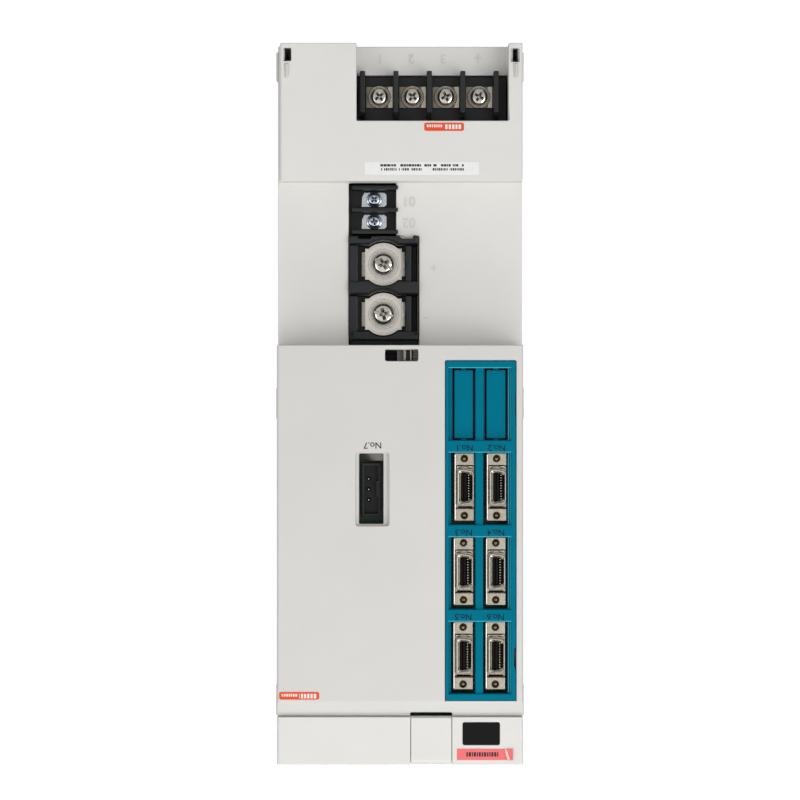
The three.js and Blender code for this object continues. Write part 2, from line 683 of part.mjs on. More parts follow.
function capacitor() {
  const height = 62;
  const profile = [
    [0, 0],
    [16.6, 0],
    [17.5, 1],
    [17.5, height - 2],
    [16.4, height],
    [0, height],
  ].map(([r, y]) => new THREE.Vector2(r, y));
  return solid(new THREE.LatheGeometry(profile, 18));
}

function currentSensor() {
  const body = box([-32, -90, 68], [20, POWER_BOARD.front - GAP, 92]);
  const passages = OUTPUT_TERMINALS.x.slice(0, 3).map((x) => box([x - 4, -91, 76], [x + 4, -63, 84]));
  return cut(body, passages);
}

// From the back of an output terminal, up and through the current sensor to the power board.
function outputBusbar(x) {
  const bar = [
    [-122 + GAP, 29],
    [-100, 29],
    [-100, 79],
    [POWER_BOARD.front - GAP, 79],
    [POWER_BOARD.front - GAP, 80.8],
    [-101.8, 80.8],
    [-101.8, 30.8],
    [-122 + GAP, 30.8],
  ];
  return extrudeAcross(bar, x - 3, x + 3);
}

// ---- Terminals --------------------------------------------------------------------------------------
// Barrier strip for the four output terminals, drawn in the drive's frame.
function outputTerminalBlock() {
  const { x, z, pitch, top } = OUTPUT_TERMINALS;
  const opening = { ...OUTPUT_RECESS, bottom: OUTPUT_LEDGE.top };
  const base = boxBehind(opening, top, -122, -GAP);
  const barrierHalf = 1.25;
  const barriers = Array.from({ length: 5 }, (_, i) => {
    const centre = x[0] + pitch / 2 - i * pitch;
    const [x0, x1] = [centre - barrierHalf, centre + barrierHalf];
    return join(
      box([x0, BARRIER_TOP.output, OUTPUT_LEDGE.top + GAP], [x1, top + 1, 40.5]),
      box([x0, BARRIER_TOP.output, 18], [x1, OUTPUT_LEDGE.face - GAP, OUTPUT_LEDGE.top + 1]),
    );
  });
  // Lips behind the recess's side walls hold the block in the case.
  const behindWalls = OUTPUT_LEDGE.face + WALL + GAP;
  const lips = box([opening.left - WALL, behindWalls, 24], [opening.right + WALL, behindWalls + 2.5, 40]);
  const screwHoles = x.map((sx) => rod("y", 2.4, [sx, top - 1, z], 12, 10));
  return cut(join(base, barriers, lips), screwHoles);
}

// Lips at both sides of a block, behind the case's front wall.
function sideLips(left, right, z0, z1) {
  const front = CASE.front + WALL + GAP;
  return [
    box([left - WALL, front, z0], [left + 0.1, front + 2.5, z1]),
    box([right - 0.1, front, z0], [right + WALL, front + 2.5, z1]),
    box([left - WALL, front + 1, z0], [left + 0.1, -130, z1]),
    box([right - 0.1, front + 1, z0], [right + WALL, -130, z1]),
  ];
}

function dcTerminalBlock() {
  const { x, z, top } = DC_TERMINALS;
  const [low, high] = z;
  const body = { left: DC_OPENING.left + GAP, right: DC_OPENING.right - GAP, bottom: DC_OPENING.bottom + GAP, top: 160 };
  const lips = sideLips(body.left, body.right, 104, 150);
  const legs = [108, 144].map((z0) => box([2, -109, z0], [14, POWER_BOARD.front - GAP, z0 + 8]));
  const base = join(boxBehind(body, top, -108), lips, legs);
  const middle = (low + high) / 2;
  const spacing = high - low;
  const front = BARRIER_TOP.dc;
  const barrier = (centre) => box([body.left, front, centre - 3.4], [body.right, top + 1, centre + 3.4]);
  // Between the barriers, walls run up both sides of the bays, and a thin rail up the block's left edge.
  const walls = [
    [-5.7, -2.9],
    [20.9, body.right],
    [body.left, body.left + 0.7],
  ].map(([x0, x1]) => box([x0, front + 1.5, body.bottom], [x1, top + 1, high + spacing / 2]));
  const barriers = [
    ...walls,
    box([body.left, front, body.bottom], [body.right, top + 1, low - spacing / 2 + 3.4]),
    barrier(middle),
    barrier(high + spacing / 2),
  ];
  const clearances = z.map((sz) => rod("y", 11.4, [x, front - 1, sz], top - front + 1, 24));
  const extension = box([body.left, front + 6, high + spacing / 2], [body.right, top + 1, body.top]);
  const ribs = [-8.6, -4.9, -1.2].map((rx) => box([rx, front + 1, high + spacing / 2 + 1], [rx + 1.4, front + 7, body.top]));
  const screwHoles = z.map((sz) => rod("y", 3, [x, top - 1, sz], 14, 10));
  return cut(join(cut(join(base, barriers), clearances), extension, ribs), screwHoles);
}

function controlTerminalBlock() {
  const { x, z, top } = CONTROL_TERMINALS;
  const right = CONTROL_OPENING.right - GAP;
  const left = CONTROL_OPENING.left + GAP;
  const spacing = z[1] - z[0];
  const base = box([left, top, FOOT.top + GAP], [right, -112, DC_OPENING.bottom]);
  const barriers = [z[0] - spacing / 2, (z[0] + z[1]) / 2, z[1] + spacing / 2].map((centre) =>
    join(
      box([left, BARRIER_TOP.control, centre - 1], [right - 1.4, top + 1, centre + 1]),
      box([left - 1.2, BARRIER_TOP.control, centre - 1], [left + 1, CASE.front - GAP, centre + 1]),
    ),
  );
  const lips = sideLips(left, right, 77, 95);
  const screwHoles = z.map((sz) => rod("y", 1.9, [x, top - 1, sz], 12, 10));
  return cut(join(base, barriers, lips), screwHoles);
}

// Pan-head screw with a cross recess, along Y, its head's underside at 0 and its shank behind.
function panScrew(headRadius, headHeight, shankRadius, shankLength) {
  const profile = [
    [0, -headHeight],
    [headRadius * 0.55, -headHeight * 0.93],
    [headRadius * 0.88, -headHeight * 0.62],
    [headRadius, -headHeight * 0.25],
    [headRadius, 0],
    [shankRadius, 0],
    [shankRadius, shankLength],
    [0, shankLength],
  ].map(([r, y]) => new THREE.Vector2(r, y));
  const body = solid(new THREE.LatheGeometry(profile, 14));
  const arm = headRadius * 0.56;
  const half = headRadius * 0.13;
  const deep = -headHeight * 0.35;
  const recess = join(
    box([-arm, -headHeight - 1, -half], [arm, deep, half]),
    box([-half, -headHeight - 1, -arm], [half, deep, arm]),
  );
  return cut(body, recess);
}

// Contact plate with its round washer, along Y, its rear face at 0.
function contactPlate(width, height, thickness, washerRadius, washerHeight, holeRadius) {
  const plate = box([-width / 2, -thickness, -height / 2], [width / 2, 0, height / 2]);
  const washer = rod("y", washerRadius, [0, -thickness - washerHeight, 0], thickness + washerHeight, 20);
  const hole = rod("y", holeRadius, [0, -thickness - washerHeight - 1, 0], thickness + washerHeight + 2, 10);
  return cut(join(plate, washer), hole);
}

// ---- Assembly -----------------------------------------------------------------------------------------
function addRear() {
  place("mounting_flange", mountingFlange(), steel);
  place("heat_sink", heatSink(), aluminium);
  place("air_duct", airDuct(), steel);
  place("fan_frame", fanFrame(), blackPlastic);
  place("fan_rotor", fanRotor(), blackPlastic, [0, FAN.y, FAN.bottom + 3.2]);
  place("fan_guard", fanGuard(), steel, [0, FAN.y, DUCT.top + 1 + GAP]);
}

function addCase() {
  place("main_case", mainCase(), greyPlastic);
  place("front_cover", frontCover(), greyPlastic);
  place("connector_bezel", connectorBezel(), tealPlastic);
  place("top_cover", topCover(), greyPlastic);
  place("access_flap", accessFlap(), greyPlastic, [0, HINGE.y, HINGE.z]);
  place("display_window", displayWindow(), smokedPlastic);
}

function addElectronics() {
  place("control_board", controlBoard(), boardGreen);
  place("board_carrier", boardCarrier(), steel);
  place("segment_display", segmentDisplay(), displayBody);
  place("axis_switch_body", axisSwitchBody(), blackPlastic);
  const dialAt = [AXIS_SWITCH.x, AXIS_SWITCH.front - 0.4, AXIS_SWITCH.z];
  place("axis_switch_dial", axisSwitchDial(), greyPlastic, dialAt);
  place("power_board", powerBoard(), boardGreen);
  place("power_module", powerModule(), blackPlastic);
  place("current_sensor", currentSensor(), blackPlastic);
  OUTPUT_TERMINALS.x.slice(0, 3).forEach((x, i) => place(`output_busbar_${i + 1}`, outputBusbar(x), copper));
  place("brake_port_housing", brakePortHousing(), blackPlastic);
  place("brake_port_pins", brakePortPins(), nickel);
  [
    [-22, 215],
    [22, 215],
    [-22, 262],
    [22, 262],
  ].forEach(([x, z], i) => {
    const mesh = place(`dc_capacitor_${i + 1}`, capacitor(), capacitorSleeve, [x, POWER_BOARD.front - GAP, z]);
    mesh.rotation.x = Math.PI;
  });
  PORT_ROWS.forEach(({ z, shift }, row) =>
    PORT_COLUMNS.forEach(({ x }, column) => {
      const port = new THREE.Group();
      port.position.set(x + shift, FRONT_FACE, z);
      drive.add(port);
      const number = row * PORT_COLUMNS.length + column + 1;
      place(`signal_port_${number}_shell`, signalPortShell(), nickel, [0, 0, 0], port);
      place(`signal_port_${number}_insert`, signalPortInsert(), blackPlastic, [0, 0, 0], port);
    }),
  );
}

function addTerminal(name, number, plate, screw, look, [x, y, z], thickness) {
  place(`${name}_plate_${number}`, plate, look, [x, y - GAP, z]);
  place(`${name}_screw_${number}`, screw, look, [x, y - thickness - 2 * GAP, z]);
}

function addTerminals() {
  place("output_terminal_block", outputTerminalBlock(), blackPlastic);
  OUTPUT_TERMINALS.x.forEach((x, i) => {
    const plate = contactPlate(13.2, 10.4, 1.2, 5.5, 1, 2.6);
    const at = [x, OUTPUT_TERMINALS.top, OUTPUT_TERMINALS.z];
    addTerminal("output_terminal", i + 1, plate, panScrew(4.3, 3.4, 2, 8), nickel, at, 2.2);
  });
  place("dc_terminal_block", dcTerminalBlock(), blackPlastic);
  DC_TERMINALS.z.forEach((z, i) => {
    const plate = contactPlate(21.4, 15.6, 2, 10.6, 0.6, 3.4);
    const at = [DC_TERMINALS.x, DC_TERMINALS.top, z];
    addTerminal("dc_terminal", i + 1, plate, panScrew(5.2, 4, 2.6, 10), nickel, at, 2.6);
  });
  place("control_terminal_block", controlTerminalBlock(), blackPlastic);
  CONTROL_TERMINALS.z.forEach((z, i) => {
    const plate = contactPlate(12.2, 7.2, 1, 3.5, 0.4, 2);
    const at = [CONTROL_TERMINALS.x, CONTROL_TERMINALS.top, z];
    addTerminal("control_terminal", i + 1, plate, panScrew(3.15, 2.4, 1.5, 7), zinc, at, 1.4);
  });
}

addRear();
addCase();
addElectronics();
addTerminals();

export default drive;
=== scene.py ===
"""Looks of the servo drive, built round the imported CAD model.

The CAD model's frame is kept: +Z is up as installed and the front faces -Y. Pieces are drawn in
millimetres and become metres when they are finished. The photograph shows the drive upside down, so
the camera is rolled by half a turn.
"""

import json
import math
import random

import bmesh
import bpy
from mathutils import Matrix, Vector
from mathutils.geometry import delaunay_2d_cdt

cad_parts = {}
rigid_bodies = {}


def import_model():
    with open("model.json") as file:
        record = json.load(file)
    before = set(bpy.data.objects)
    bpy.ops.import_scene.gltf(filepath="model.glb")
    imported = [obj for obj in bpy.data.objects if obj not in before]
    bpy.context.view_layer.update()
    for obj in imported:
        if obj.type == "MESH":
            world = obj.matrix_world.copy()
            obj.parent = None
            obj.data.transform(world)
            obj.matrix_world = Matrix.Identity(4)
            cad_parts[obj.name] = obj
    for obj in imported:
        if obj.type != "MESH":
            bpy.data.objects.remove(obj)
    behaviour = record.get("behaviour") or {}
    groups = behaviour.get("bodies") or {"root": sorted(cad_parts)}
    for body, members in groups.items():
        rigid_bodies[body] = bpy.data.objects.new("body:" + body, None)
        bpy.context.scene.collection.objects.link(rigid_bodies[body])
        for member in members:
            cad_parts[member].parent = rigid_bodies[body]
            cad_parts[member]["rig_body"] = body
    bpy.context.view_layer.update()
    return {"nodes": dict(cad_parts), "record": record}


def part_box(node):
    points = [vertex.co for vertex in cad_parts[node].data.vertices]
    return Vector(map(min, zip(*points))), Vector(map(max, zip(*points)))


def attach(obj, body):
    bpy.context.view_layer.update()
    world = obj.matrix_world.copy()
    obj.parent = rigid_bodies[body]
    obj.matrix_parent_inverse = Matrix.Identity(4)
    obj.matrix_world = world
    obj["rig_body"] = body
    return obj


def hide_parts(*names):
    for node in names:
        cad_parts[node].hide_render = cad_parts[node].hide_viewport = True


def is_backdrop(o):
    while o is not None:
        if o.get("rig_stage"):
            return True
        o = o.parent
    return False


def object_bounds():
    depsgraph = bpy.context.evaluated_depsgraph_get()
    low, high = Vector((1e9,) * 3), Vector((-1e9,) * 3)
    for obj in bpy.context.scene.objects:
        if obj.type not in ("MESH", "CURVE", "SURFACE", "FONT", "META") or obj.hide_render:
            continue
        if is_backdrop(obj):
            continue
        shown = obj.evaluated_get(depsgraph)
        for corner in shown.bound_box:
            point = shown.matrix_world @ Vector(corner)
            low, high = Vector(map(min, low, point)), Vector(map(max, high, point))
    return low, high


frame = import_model()

MM = 0.001
DRIVE = "drive"
SUBPARTS = {part["node"]: part["material_slot"] for part in frame["record"]["subparts"]}


def corners(node):
    """Lowest and highest corner of a CAD node, in millimetres."""
    low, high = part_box(node)
    return low / MM, high / MM


def middle(node):
    """Middle of a CAD node in the front view: x and z, in millimetres."""
    low, high = corners(node)
    return (low.x + high.x) / 2, (low.z + high.z) / 2


def placed(name, data):
    """A new object with that data, in the scene."""
    thing = bpy.data.objects.new(name, data)
    bpy.context.scene.collection.objects.link(thing)
    return thing


# ---- Materials ----

LOOKS = {}
LOOK_SLOTS = {}
GRAIN = 0.3 * MM


def linear(r, g, b):
    """A display colour, 0 to 255, as the linear colour that shaders take."""

    def channel(value):
        value /= 255
        return value / 12.92 if value <= 0.04045 else ((value + 0.055) / 1.055) ** 2.4

    return (channel(r), channel(g), channel(b), 1)


def shade(colour, factor):
    return tuple(min(1, c * factor) for c in colour[:3]) + (1,)


class Nodes:
    """A new material and short ways to add and join its nodes. Texture scales are per metre."""

    def __init__(self, name):
        self.material = bpy.data.materials.new(name)
        self.material.use_nodes = True
        self.tree = self.material.node_tree
        self.shader = self.tree.nodes["Principled BSDF"]
        self.place = self.add("TexCoord").outputs["Object"]

    def add(self, kind, **settings):
        node = self.tree.nodes.new("ShaderNode" + kind)
        for name, value in settings.items():
            if name in node.inputs:
                node.inputs[name].default_value = value
            else:
                setattr(node, name, value)
        return node

    def join(self, output, target):
        self.tree.links.new(output, target)

    def set(self, **values):
        for name, value in values.items():
            self.shader.inputs[name.replace("_", " ")].default_value = value

    def noise(self, scale, detail=2, stretch=(1, 1, 1)):
        """Noise whose features are longer along the axes where stretch is below 1."""
        mapping = self.add("Mapping", Scale=stretch)
        self.join(self.place, mapping.inputs["Vector"])
        texture = self.add("TexNoise", Scale=scale, Detail=detail)
        self.join(mapping.outputs["Vector"], texture.inputs["Vector"])
        return texture.outputs["Fac"]

    def tint(self, pattern, colour, dark, light=1, low=0.3, high=0.7):
        """The colour times dark where the pattern is low, and times light where it is high."""
        node = self.add("ValToRGB")
        self.join(pattern, node.inputs["Fac"])
        for element, position, factor in zip(node.color_ramp.elements, (low, high), (dark, light)):
            element.position = position
            element.color = shade(colour, factor)
        return node.outputs["Color"]

    def colour(self, output):
        self.join(output, self.shader.inputs["Base Color"])

    def crevices(self, output, reach, dark):
        """Colours the surface with painted shade: darker where it is shut in, as in a recess."""
        shut = self.add("AmbientOcclusion", samples=5, Distance=reach)
        tone = self.tint(shut.outputs["AO"], (1, 1, 1, 1), dark, low=0.2, high=0.85)
        mixed = self.add("VectorMath", operation="MULTIPLY")
        self.join(output, mixed.inputs[0])
        self.join(tone, mixed.inputs[1])
        self.colour(mixed.outputs["Vector"])

    def roughness(self, pattern, low, high):
        """Roughness that follows a pattern."""
        node = self.add("MapRange", **{"From Min": 0.3, "From Max": 0.7, "To Min": low, "To Max": high})
        self.join(pattern, node.inputs["Value"])
        self.join(node.outputs["Result"], self.shader.inputs["Roughness"])

    def bump(self, height, strength, distance):
        node = self.add("Bump", Strength=strength, Distance=distance)
        self.join(height, node.inputs["Height"])
        if self.shader.inputs["Normal"].is_linked:
            self.join(self.shader.inputs["Normal"].links[0].from_socket, node.inputs["Normal"])
        self.join(node.outputs["Normal"], self.shader.inputs["Normal"])


def moulded(n, colour, roughness, variation=0.04, gloss=0.5, recess=1):
    """Injection-moulded plastic with a fine eroded grain and slow changes in colour and gloss. Where recess
    is below 1, painted shade darkens its recesses, down to recess times its colour.
    """
    n.set(Specular_IOR_Level=gloss)
    cloud = n.tint(n.noise(30, 3), colour, 1 - variation, 1 + variation / 2)
    if recess < 1:
        n.crevices(cloud, 9 * MM, recess)
    else:
        n.colour(cloud)
    n.roughness(n.noise(90, 4), roughness - 0.05, roughness + 0.06)
    n.bump(n.noise(1 / GRAIN), 0.12, 0.05 * MM)
    n.bump(n.noise(60), 0.1, 0.1 * MM)


def plated(n, colour, roughness, variation, reach=1.6 * MM):
    """Plated metal with faint tarnish, rubbed patches and fine scratches, and painted shade in its hollows
    within reach.
    """
    n.set(Metallic=1)
    n.crevices(n.tint(n.noise(420, 5), colour, 1 - variation, high=0.62), reach, 0.12)
    n.roughness(n.noise(900, 3), roughness - 0.06, roughness + 0.08)
    n.bump(n.noise(3200, 2), 0.06, 0.02 * MM)


def turned(n, colour, roughness, pitch):
    """Metal turned about the piece's own Y axis, with concentric tool marks and painted shade in its hollows.
    """
    n.set(Metallic=1)
    rings = n.add("TexWave", wave_type="RINGS", rings_direction="Y", Scale=0.05 / pitch, Distortion=0.4)
    n.join(n.place, rings.inputs["Vector"])
    n.crevices(n.tint(rings.outputs["Fac"], colour, 0.93, low=0.2, high=0.8), 1.2 * MM, 0.3)
    n.roughness(n.noise(900, 3), roughness - 0.05, roughness + 0.08)
    n.bump(rings.outputs["Fac"], 0.12, 0.02 * MM)


def drawn(n, colour, roughness, stretch):
    """Extruded or rolled metal, streaked along one axis."""
    n.set(Metallic=1)
    streaks = n.noise(1500, 3, stretch)
    n.colour(n.tint(streaks, colour, 0.82))
    n.roughness(streaks, roughness - 0.06, roughness + 0.1)
    n.bump(streaks, 0.15, 0.03 * MM)


def galvanised(n, colour, roughness):
    """Zinc-dipped sheet steel, with its crystal spangle."""
    n.set(Metallic=1)
    spangle = n.add("TexVoronoi", Scale=140, Randomness=1)
    n.join(n.place, spangle.inputs["Vector"])
    cells = spangle.outputs["Color"]
    n.colour(n.tint(cells, colour, 0.84, low=0.1, high=0.9))
    n.roughness(cells, roughness - 0.05, roughness + 0.1)
    n.bump(n.noise(2500), 0.08, 0.02 * MM)


def board(n, colour):
    """Circuit board: solder mask over copper tracks."""
    n.set(Coat_Weight=0.3, Coat_Roughness=0.2)
    tones = {"Color1": colour, "Color2": shade(colour, 0.85), "Mortar": shade(colour, 1.5)}
    sizes = {"Mortar Size": 0.09, "Row Height": 0.35, "Brick Width": 0.9}
    tracks = n.add("TexBrick", Scale=170, **sizes, **tones)
    turn = n.add("Mapping", Rotation=(math.pi / 2, 0, 0))
    n.join(n.place, turn.inputs["Vector"])
    n.join(turn.outputs["Vector"], tracks.inputs["Vector"])
    n.colour(tracks.outputs["Color"])
    n.roughness(n.noise(500), 0.35, 0.5)
    n.bump(tracks.outputs["Fac"], 0.2, 0.05 * MM)


def paper(n, colour):
    """Coated label paper, or ink."""
    n.set(Specular_IOR_Level=0.15)
    n.colour(n.tint(n.noise(260, 4), colour, 0.95))
    n.roughness(n.noise(700), 0.44, 0.56)
    n.bump(n.noise(2600), 0.06, 0.02 * MM)


def smoked(n, colour):
    """Smoked acrylic pane."""
    n.colour(n.tint(n.noise(120), colour, 0.8))
    n.roughness(n.noise(300), 0.1, 0.16)
    n.set(Specular_IOR_Level=0.2)


def add_look(name, kind, rgb, *sizes, slot=None, **settings):
    """Adds a material. slot is the record's slot that the material belongs to, if it isn't one itself;
    LOOK_SLOTS keeps it.
    """
    made = Nodes(name)
    kind(made, linear(*rgb), *sizes, **settings)
    LOOKS[name] = made.material
    LOOK_SLOTS[name] = name if name in SUBPARTS.values() else slot


add_look("grey_plastic", moulded, (223, 222, 218), 0.48, variation=0.02)
add_look("teal_plastic", moulded, (0, 114, 139), 0.42, variation=0.06, gloss=0.03)
# black_plastic: strong painted shade in its recesses, through recess.
add_look("black_plastic", moulded, (33, 36, 37), 0.33, variation=0.12, gloss=0.35, recess=0.14)
add_look("smoked_plastic", smoked, (8, 10, 9))
add_look("circuit_board", board, (20, 74, 44))
add_look("display_grey", moulded, (40, 42, 41), 0.5)
add_look("capacitor_sleeve", moulded, (26, 34, 48), 0.3, variation=0.08)
add_look("nickel_plate", plated, (196, 188, 174), 0.27, 0.12, 0.7 * MM)
add_look("zinc_plate", plated, (222, 226, 230), 0.24, 0.08)
add_look("aluminium", drawn, (186, 189, 192), 0.36, (1, 1, 0.01))
add_look("sheet_steel", galvanised, (176, 180, 182), 0.34)
add_look("copper", drawn, (196, 122, 84), 0.3, (1, 0.02, 0.02))

# cover_grey: the grey plastic made a little darker, as painted shade on the front cover.
add_look("cover_grey", moulded, (211, 209, 205), 0.48, variation=0.02, slot="grey_plastic")
# shaded_grey: the grey plastic darkened, with painted shade in its recesses, for the floor inside the brake
# slot.
add_look("shaded_grey", moulded, (160, 157, 151), 0.5, recess=0.3, slot="grey_plastic")
# grey_relief: the grey plastic a little darker, as painted shade on the raised marks.
add_look("grey_relief", moulded, (209, 208, 204), 0.5, variation=0.02, slot="grey_plastic")
# teal_light: light teal for painted highlights along the bezel's pocket edges.
add_look("teal_light", moulded, (64, 172, 190), 0.42, gloss=0.2, slot="teal_plastic")
add_look("fan_black", moulded, (30, 31, 33), 0.4, variation=0.1, slot="black_plastic")
add_look("insert_black", moulded, (13, 13, 14), 0.5, gloss=0.1, slot="black_plastic")
# latch_grey: painted shade where it is shut in, through recess.
add_look("latch_grey", moulded, (196, 196, 190), 0.4, recess=0.2, slot="black_plastic")
add_look("dial_white", moulded, (206, 204, 196), 0.4)
add_look("segment_dark", moulded, (70, 74, 72), 0.4)
# gold: near-white plastic, painted glints on the port contacts.
add_look("gold", moulded, (250, 244, 226), 0.3, gloss=0.8)
# nickel_aged: nickel darkened as painted shade, for the output plates, DC tool marks and spring washers.
add_look("nickel_aged", plated, (140, 132, 120), 0.25, 0.15, slot="nickel_plate")
add_look("nickel_rim", plated, (194, 187, 173), 0.18, 0.15, 0.8 * MM, slot="nickel_plate")
add_look("nickel_bright", plated, (226, 222, 212), 0.12, 0.1, 0.8 * MM, slot="nickel_plate")
add_look("zinc_bright", plated, (205, 214, 232), 0.12, 0.12, 0.6 * MM)
add_look("brass", plated, (128, 112, 80), 0.2, 0.25)
add_look("aluminium_can", turned, (205, 207, 208), 0.32, 0.3 * MM)
add_look("nickel_turned", turned, (234, 229, 220), 0.3, 0.25 * MM, slot="nickel_plate")
add_look("nickel_washer", turned, (206, 199, 187), 0.26, 0.25 * MM, slot="nickel_plate")
for name, rgb in (
    ("print_white", (214, 216, 212)),
    ("print_dark", (52, 54, 56)),
    ("print_teal", (0, 42, 56)),
    ("label_white", (240, 240, 238)),
    ("label_orange", (236, 84, 46)),
    ("label_pink", (244, 120, 122)),
    ("label_back", (250, 214, 200)),
):
    add_look(name, paper, rgb)


# ---- Drawing solids ----


def work_object(solid):
    """A temporary object with a solid's shape, for a modifier to change."""
    bmesh.ops.recalc_face_normals(solid.mesh, faces=solid.mesh.faces)
    mesh = bpy.data.meshes.new("work")
    solid.mesh.to_mesh(mesh)
    return placed("work", mesh)


class Solid:
    """Closed shapes in millimetres that become one piece."""

    def __init__(self):
        self.mesh = bmesh.new()

    def box(self, low, high):
        size = Vector(high) - Vector(low)
        place = Matrix.Translation((Vector(high) + Vector(low)) / 2) @ Matrix.Diagonal((*size, 1))
        made = bmesh.ops.create_cube(self.mesh, size=1)
        bmesh.ops.transform(self.mesh, matrix=place, verts=made["verts"])
        return self

    def loft(self, loops):
        """Joins loops of points, each as long as the first, and closes both ends."""
        rings = [[self.mesh.verts.new(point) for point in loop] for loop in loops]
        self.mesh.faces.new(rings[0])
        self.mesh.faces.new(rings[-1][::-1])
        for near, far in zip(rings, rings[1:]):
            for i in range(len(near)):
                j = (i + 1) % len(near)
                self.mesh.faces.new((near[j], near[i], far[i], far[j]))
        return self

    def prism(self, outline, rear, front):
        """An outline in the front view, (x, z), from depth rear to depth front."""
        return self.loft([[(x, y, z) for x, z in outline] for y in (front, rear)])

    def across(self, outline, x0, x1):
        """An outline seen from the side, (y, z), from x0 to x1."""
        return self.loft([[(x, y, z) for y, z in outline] for x in (x0, x1)])

    def upright(self, outline, bottom, top):
        """An outline seen from above, (x, y), from height bottom to height top."""
        return self.loft([[(x, y, z) for x, y in outline] for z in (bottom, top)])

    def turn(self, profile, centre, axis="y", steps=36):
        """A profile of (radius, place along the axis) points turned about an axis along Y or Z.

        It starts and ends on the axis, or else closes on itself as a ring.
        """
        a, b = centre

        def point(radius, along, angle):
            u, v = a + radius * math.cos(angle), b + radius * math.sin(angle)
            return (u, along, v) if axis == "y" else (u, v, along)

        rings = []
        for radius, along in profile:
            count = steps if radius > 0 else 1
            around = [2 * math.pi * i / count for i in range(count)]
            rings.append([self.mesh.verts.new(point(radius, along, angle)) for angle in around])
        pairs = list(zip(rings, rings[1:]))
        if profile[0][0] > 0:
            pairs.append((rings[-1], rings[0]))
        for near, far in pairs:
            for i in range(steps):
                j = (i + 1) % steps
                quad = [near[i % len(near)], near[j % len(near)], far[j % len(far)], far[i % len(far)]]
                self.mesh.faces.new(list(dict.fromkeys(quad)))
        return self

    def rod(self, radius, start, end, centre, axis="y", steps=36, inner=0):
        """A round rod along an axis, or a tube."""
        return self.turn([(inner, start), (radius, start), (radius, end), (inner, end)], centre, axis, steps)

    def pin(self, x, z, stations, flatness=1):
        """A square pin along Y. stations holds (half its width, depth) pairs."""
        loops = []
        for half, depth in stations:
            tall = flatness * half
            loops.append([(a, depth, b) for a, b in rectangle(x - half, x + half, z - tall, z + tall)])
        return self.loft(loops)

    def move(self, matrix):
        self.mesh.transform(matrix)
        return self

    def take(self, thing):
        """Takes on the shape that a work object's modifiers give it."""
        made = bpy.data.meshes.new_from_object(thing.evaluated_get(bpy.context.evaluated_depsgraph_get()))
        self.mesh.clear()
        self.mesh.from_mesh(made)
        bpy.data.meshes.remove(made)
        bpy.data.objects.remove(thing)
        return self

    def combine(self, other, operation):
        mine, tool = work_object(self), work_object(other)
        modifier = mine.modifiers.new("boolean", "BOOLEAN")
        modifier.operation = operation
        modifier.solver = "EXACT"
        modifier.use_self = True
        modifier.object = tool
        self.take(mine)
        bpy.data.objects.remove(tool)
        bmesh.ops.remove_doubles(self.mesh, verts=self.mesh.verts, dist=1e-4)
        return self

    def cut(self, other):
        return self.combine(other, "DIFFERENCE")

    def join(self, other):
        return self.combine(other, "UNION")

    def round_edges(self, width):
        """Rounds the edges sharper than 40 degrees, and those with close neighbours by less than width."""
        weight = self.mesh.edges.layers.float.new("bevel_weight_edge")
        for edge in self.mesh.edges:
            if len(edge.link_faces) != 2 or edge.calc_face_angle(0) < math.radians(40):
                continue
            room = width
            for corner in edge.verts:
                along = (edge.other_vert(corner).co - corner.co).normalized()
                for other in corner.link_edges:
                    reach = other.other_vert(corner).co - corner.co
                    if abs(along.dot(reach.normalized())) < 0.7:
                        room = min(room, 0.42 * reach.length)
            edge[weight] = room / width
        thing = work_object(self)
        bevel = thing.modifiers.new("edges", "BEVEL")
        bevel.width = width
        bevel.segments = 2
        bevel.limit_method = "WEIGHT"
        bevel.use_clamp_overlap = False
        bevel.miter_outer = "MITER_ARC"
        return self.take(thing).mend()

    def mend(self):
        """Fills each flat face whose outline crosses itself with triangles."""
        made = self.mesh
        made.normal_update()
        filled = {}
        for loops in made.calc_loop_triangles():
            a, b, c = (loop.vert.co for loop in loops)
            face = loops[0].face
            filled[face] = filled.get(face, 0) + (b - a).cross(c - a).length / 2
        broken = [f for f, area in filled.items() if abs(area - f.calc_area()) > 0.002 + 0.001 * area]
        for face in broken:
            self.fill(face)
        return self

    def fill(self, face):
        """Replaces a flat face by triangles between its corners."""
        rim = list(face.verts)
        across = (rim[1].co - rim[0].co).normalized()
        upward = face.normal.cross(across).normalized()
        centre = face.calc_center_median()
        flat = [Vector(((v.co - centre).dot(across), (v.co - centre).dot(upward))) for v in rim]
        self.mesh.faces.remove(face)
        points, _, triangles, sources, _, _ = delaunay_2d_cdt(flat, [], [list(range(len(flat)))], 1, 1e-4)
        places = []
        for point, source in zip(points, sources):
            at = centre + across * point.x + upward * point.y
            places.append(rim[source[0]] if source else self.mesh.verts.new(at))
        for triangle in triangles:
            trio = [places[i] for i in triangle]
            if len(set(trio)) == 3 and not self.mesh.faces.get(trio):
                self.mesh.faces.new(trio)


def finish(name, solid, look, slot=None, body=DRIVE, stands_for=(), width=0, origin=(0, 0, 0), sharp=38):
    """Makes a solid into a piece of the object. width is the rounding of its edges, in millimetres."""
    bmesh.ops.recalc_face_normals(solid.mesh, faces=solid.mesh.faces)
    if width:
        solid.round_edges(width)
        sharp = 52
    made = solid.mesh
    made.transform(Matrix.Scale(MM, 4) @ Matrix.Translation(-Vector(origin)))
    for face in made.faces:
        face.smooth = True
    mesh = bpy.data.meshes.new(name)
    made.to_mesh(mesh)
    made.free()
    mesh.set_sharp_from_angle(angle=math.radians(sharp))
    mesh.materials.append(LOOKS[look])
    piece = placed(name, mesh)
    piece.location = Vector(origin) * MM
    if width:
        piece.modifiers.new("normals", "WEIGHTED_NORMAL").keep_sharp = True
    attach(piece, body)
    if stands_for:
        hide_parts(*stands_for)
    slot = slot or LOOK_SLOTS[look]


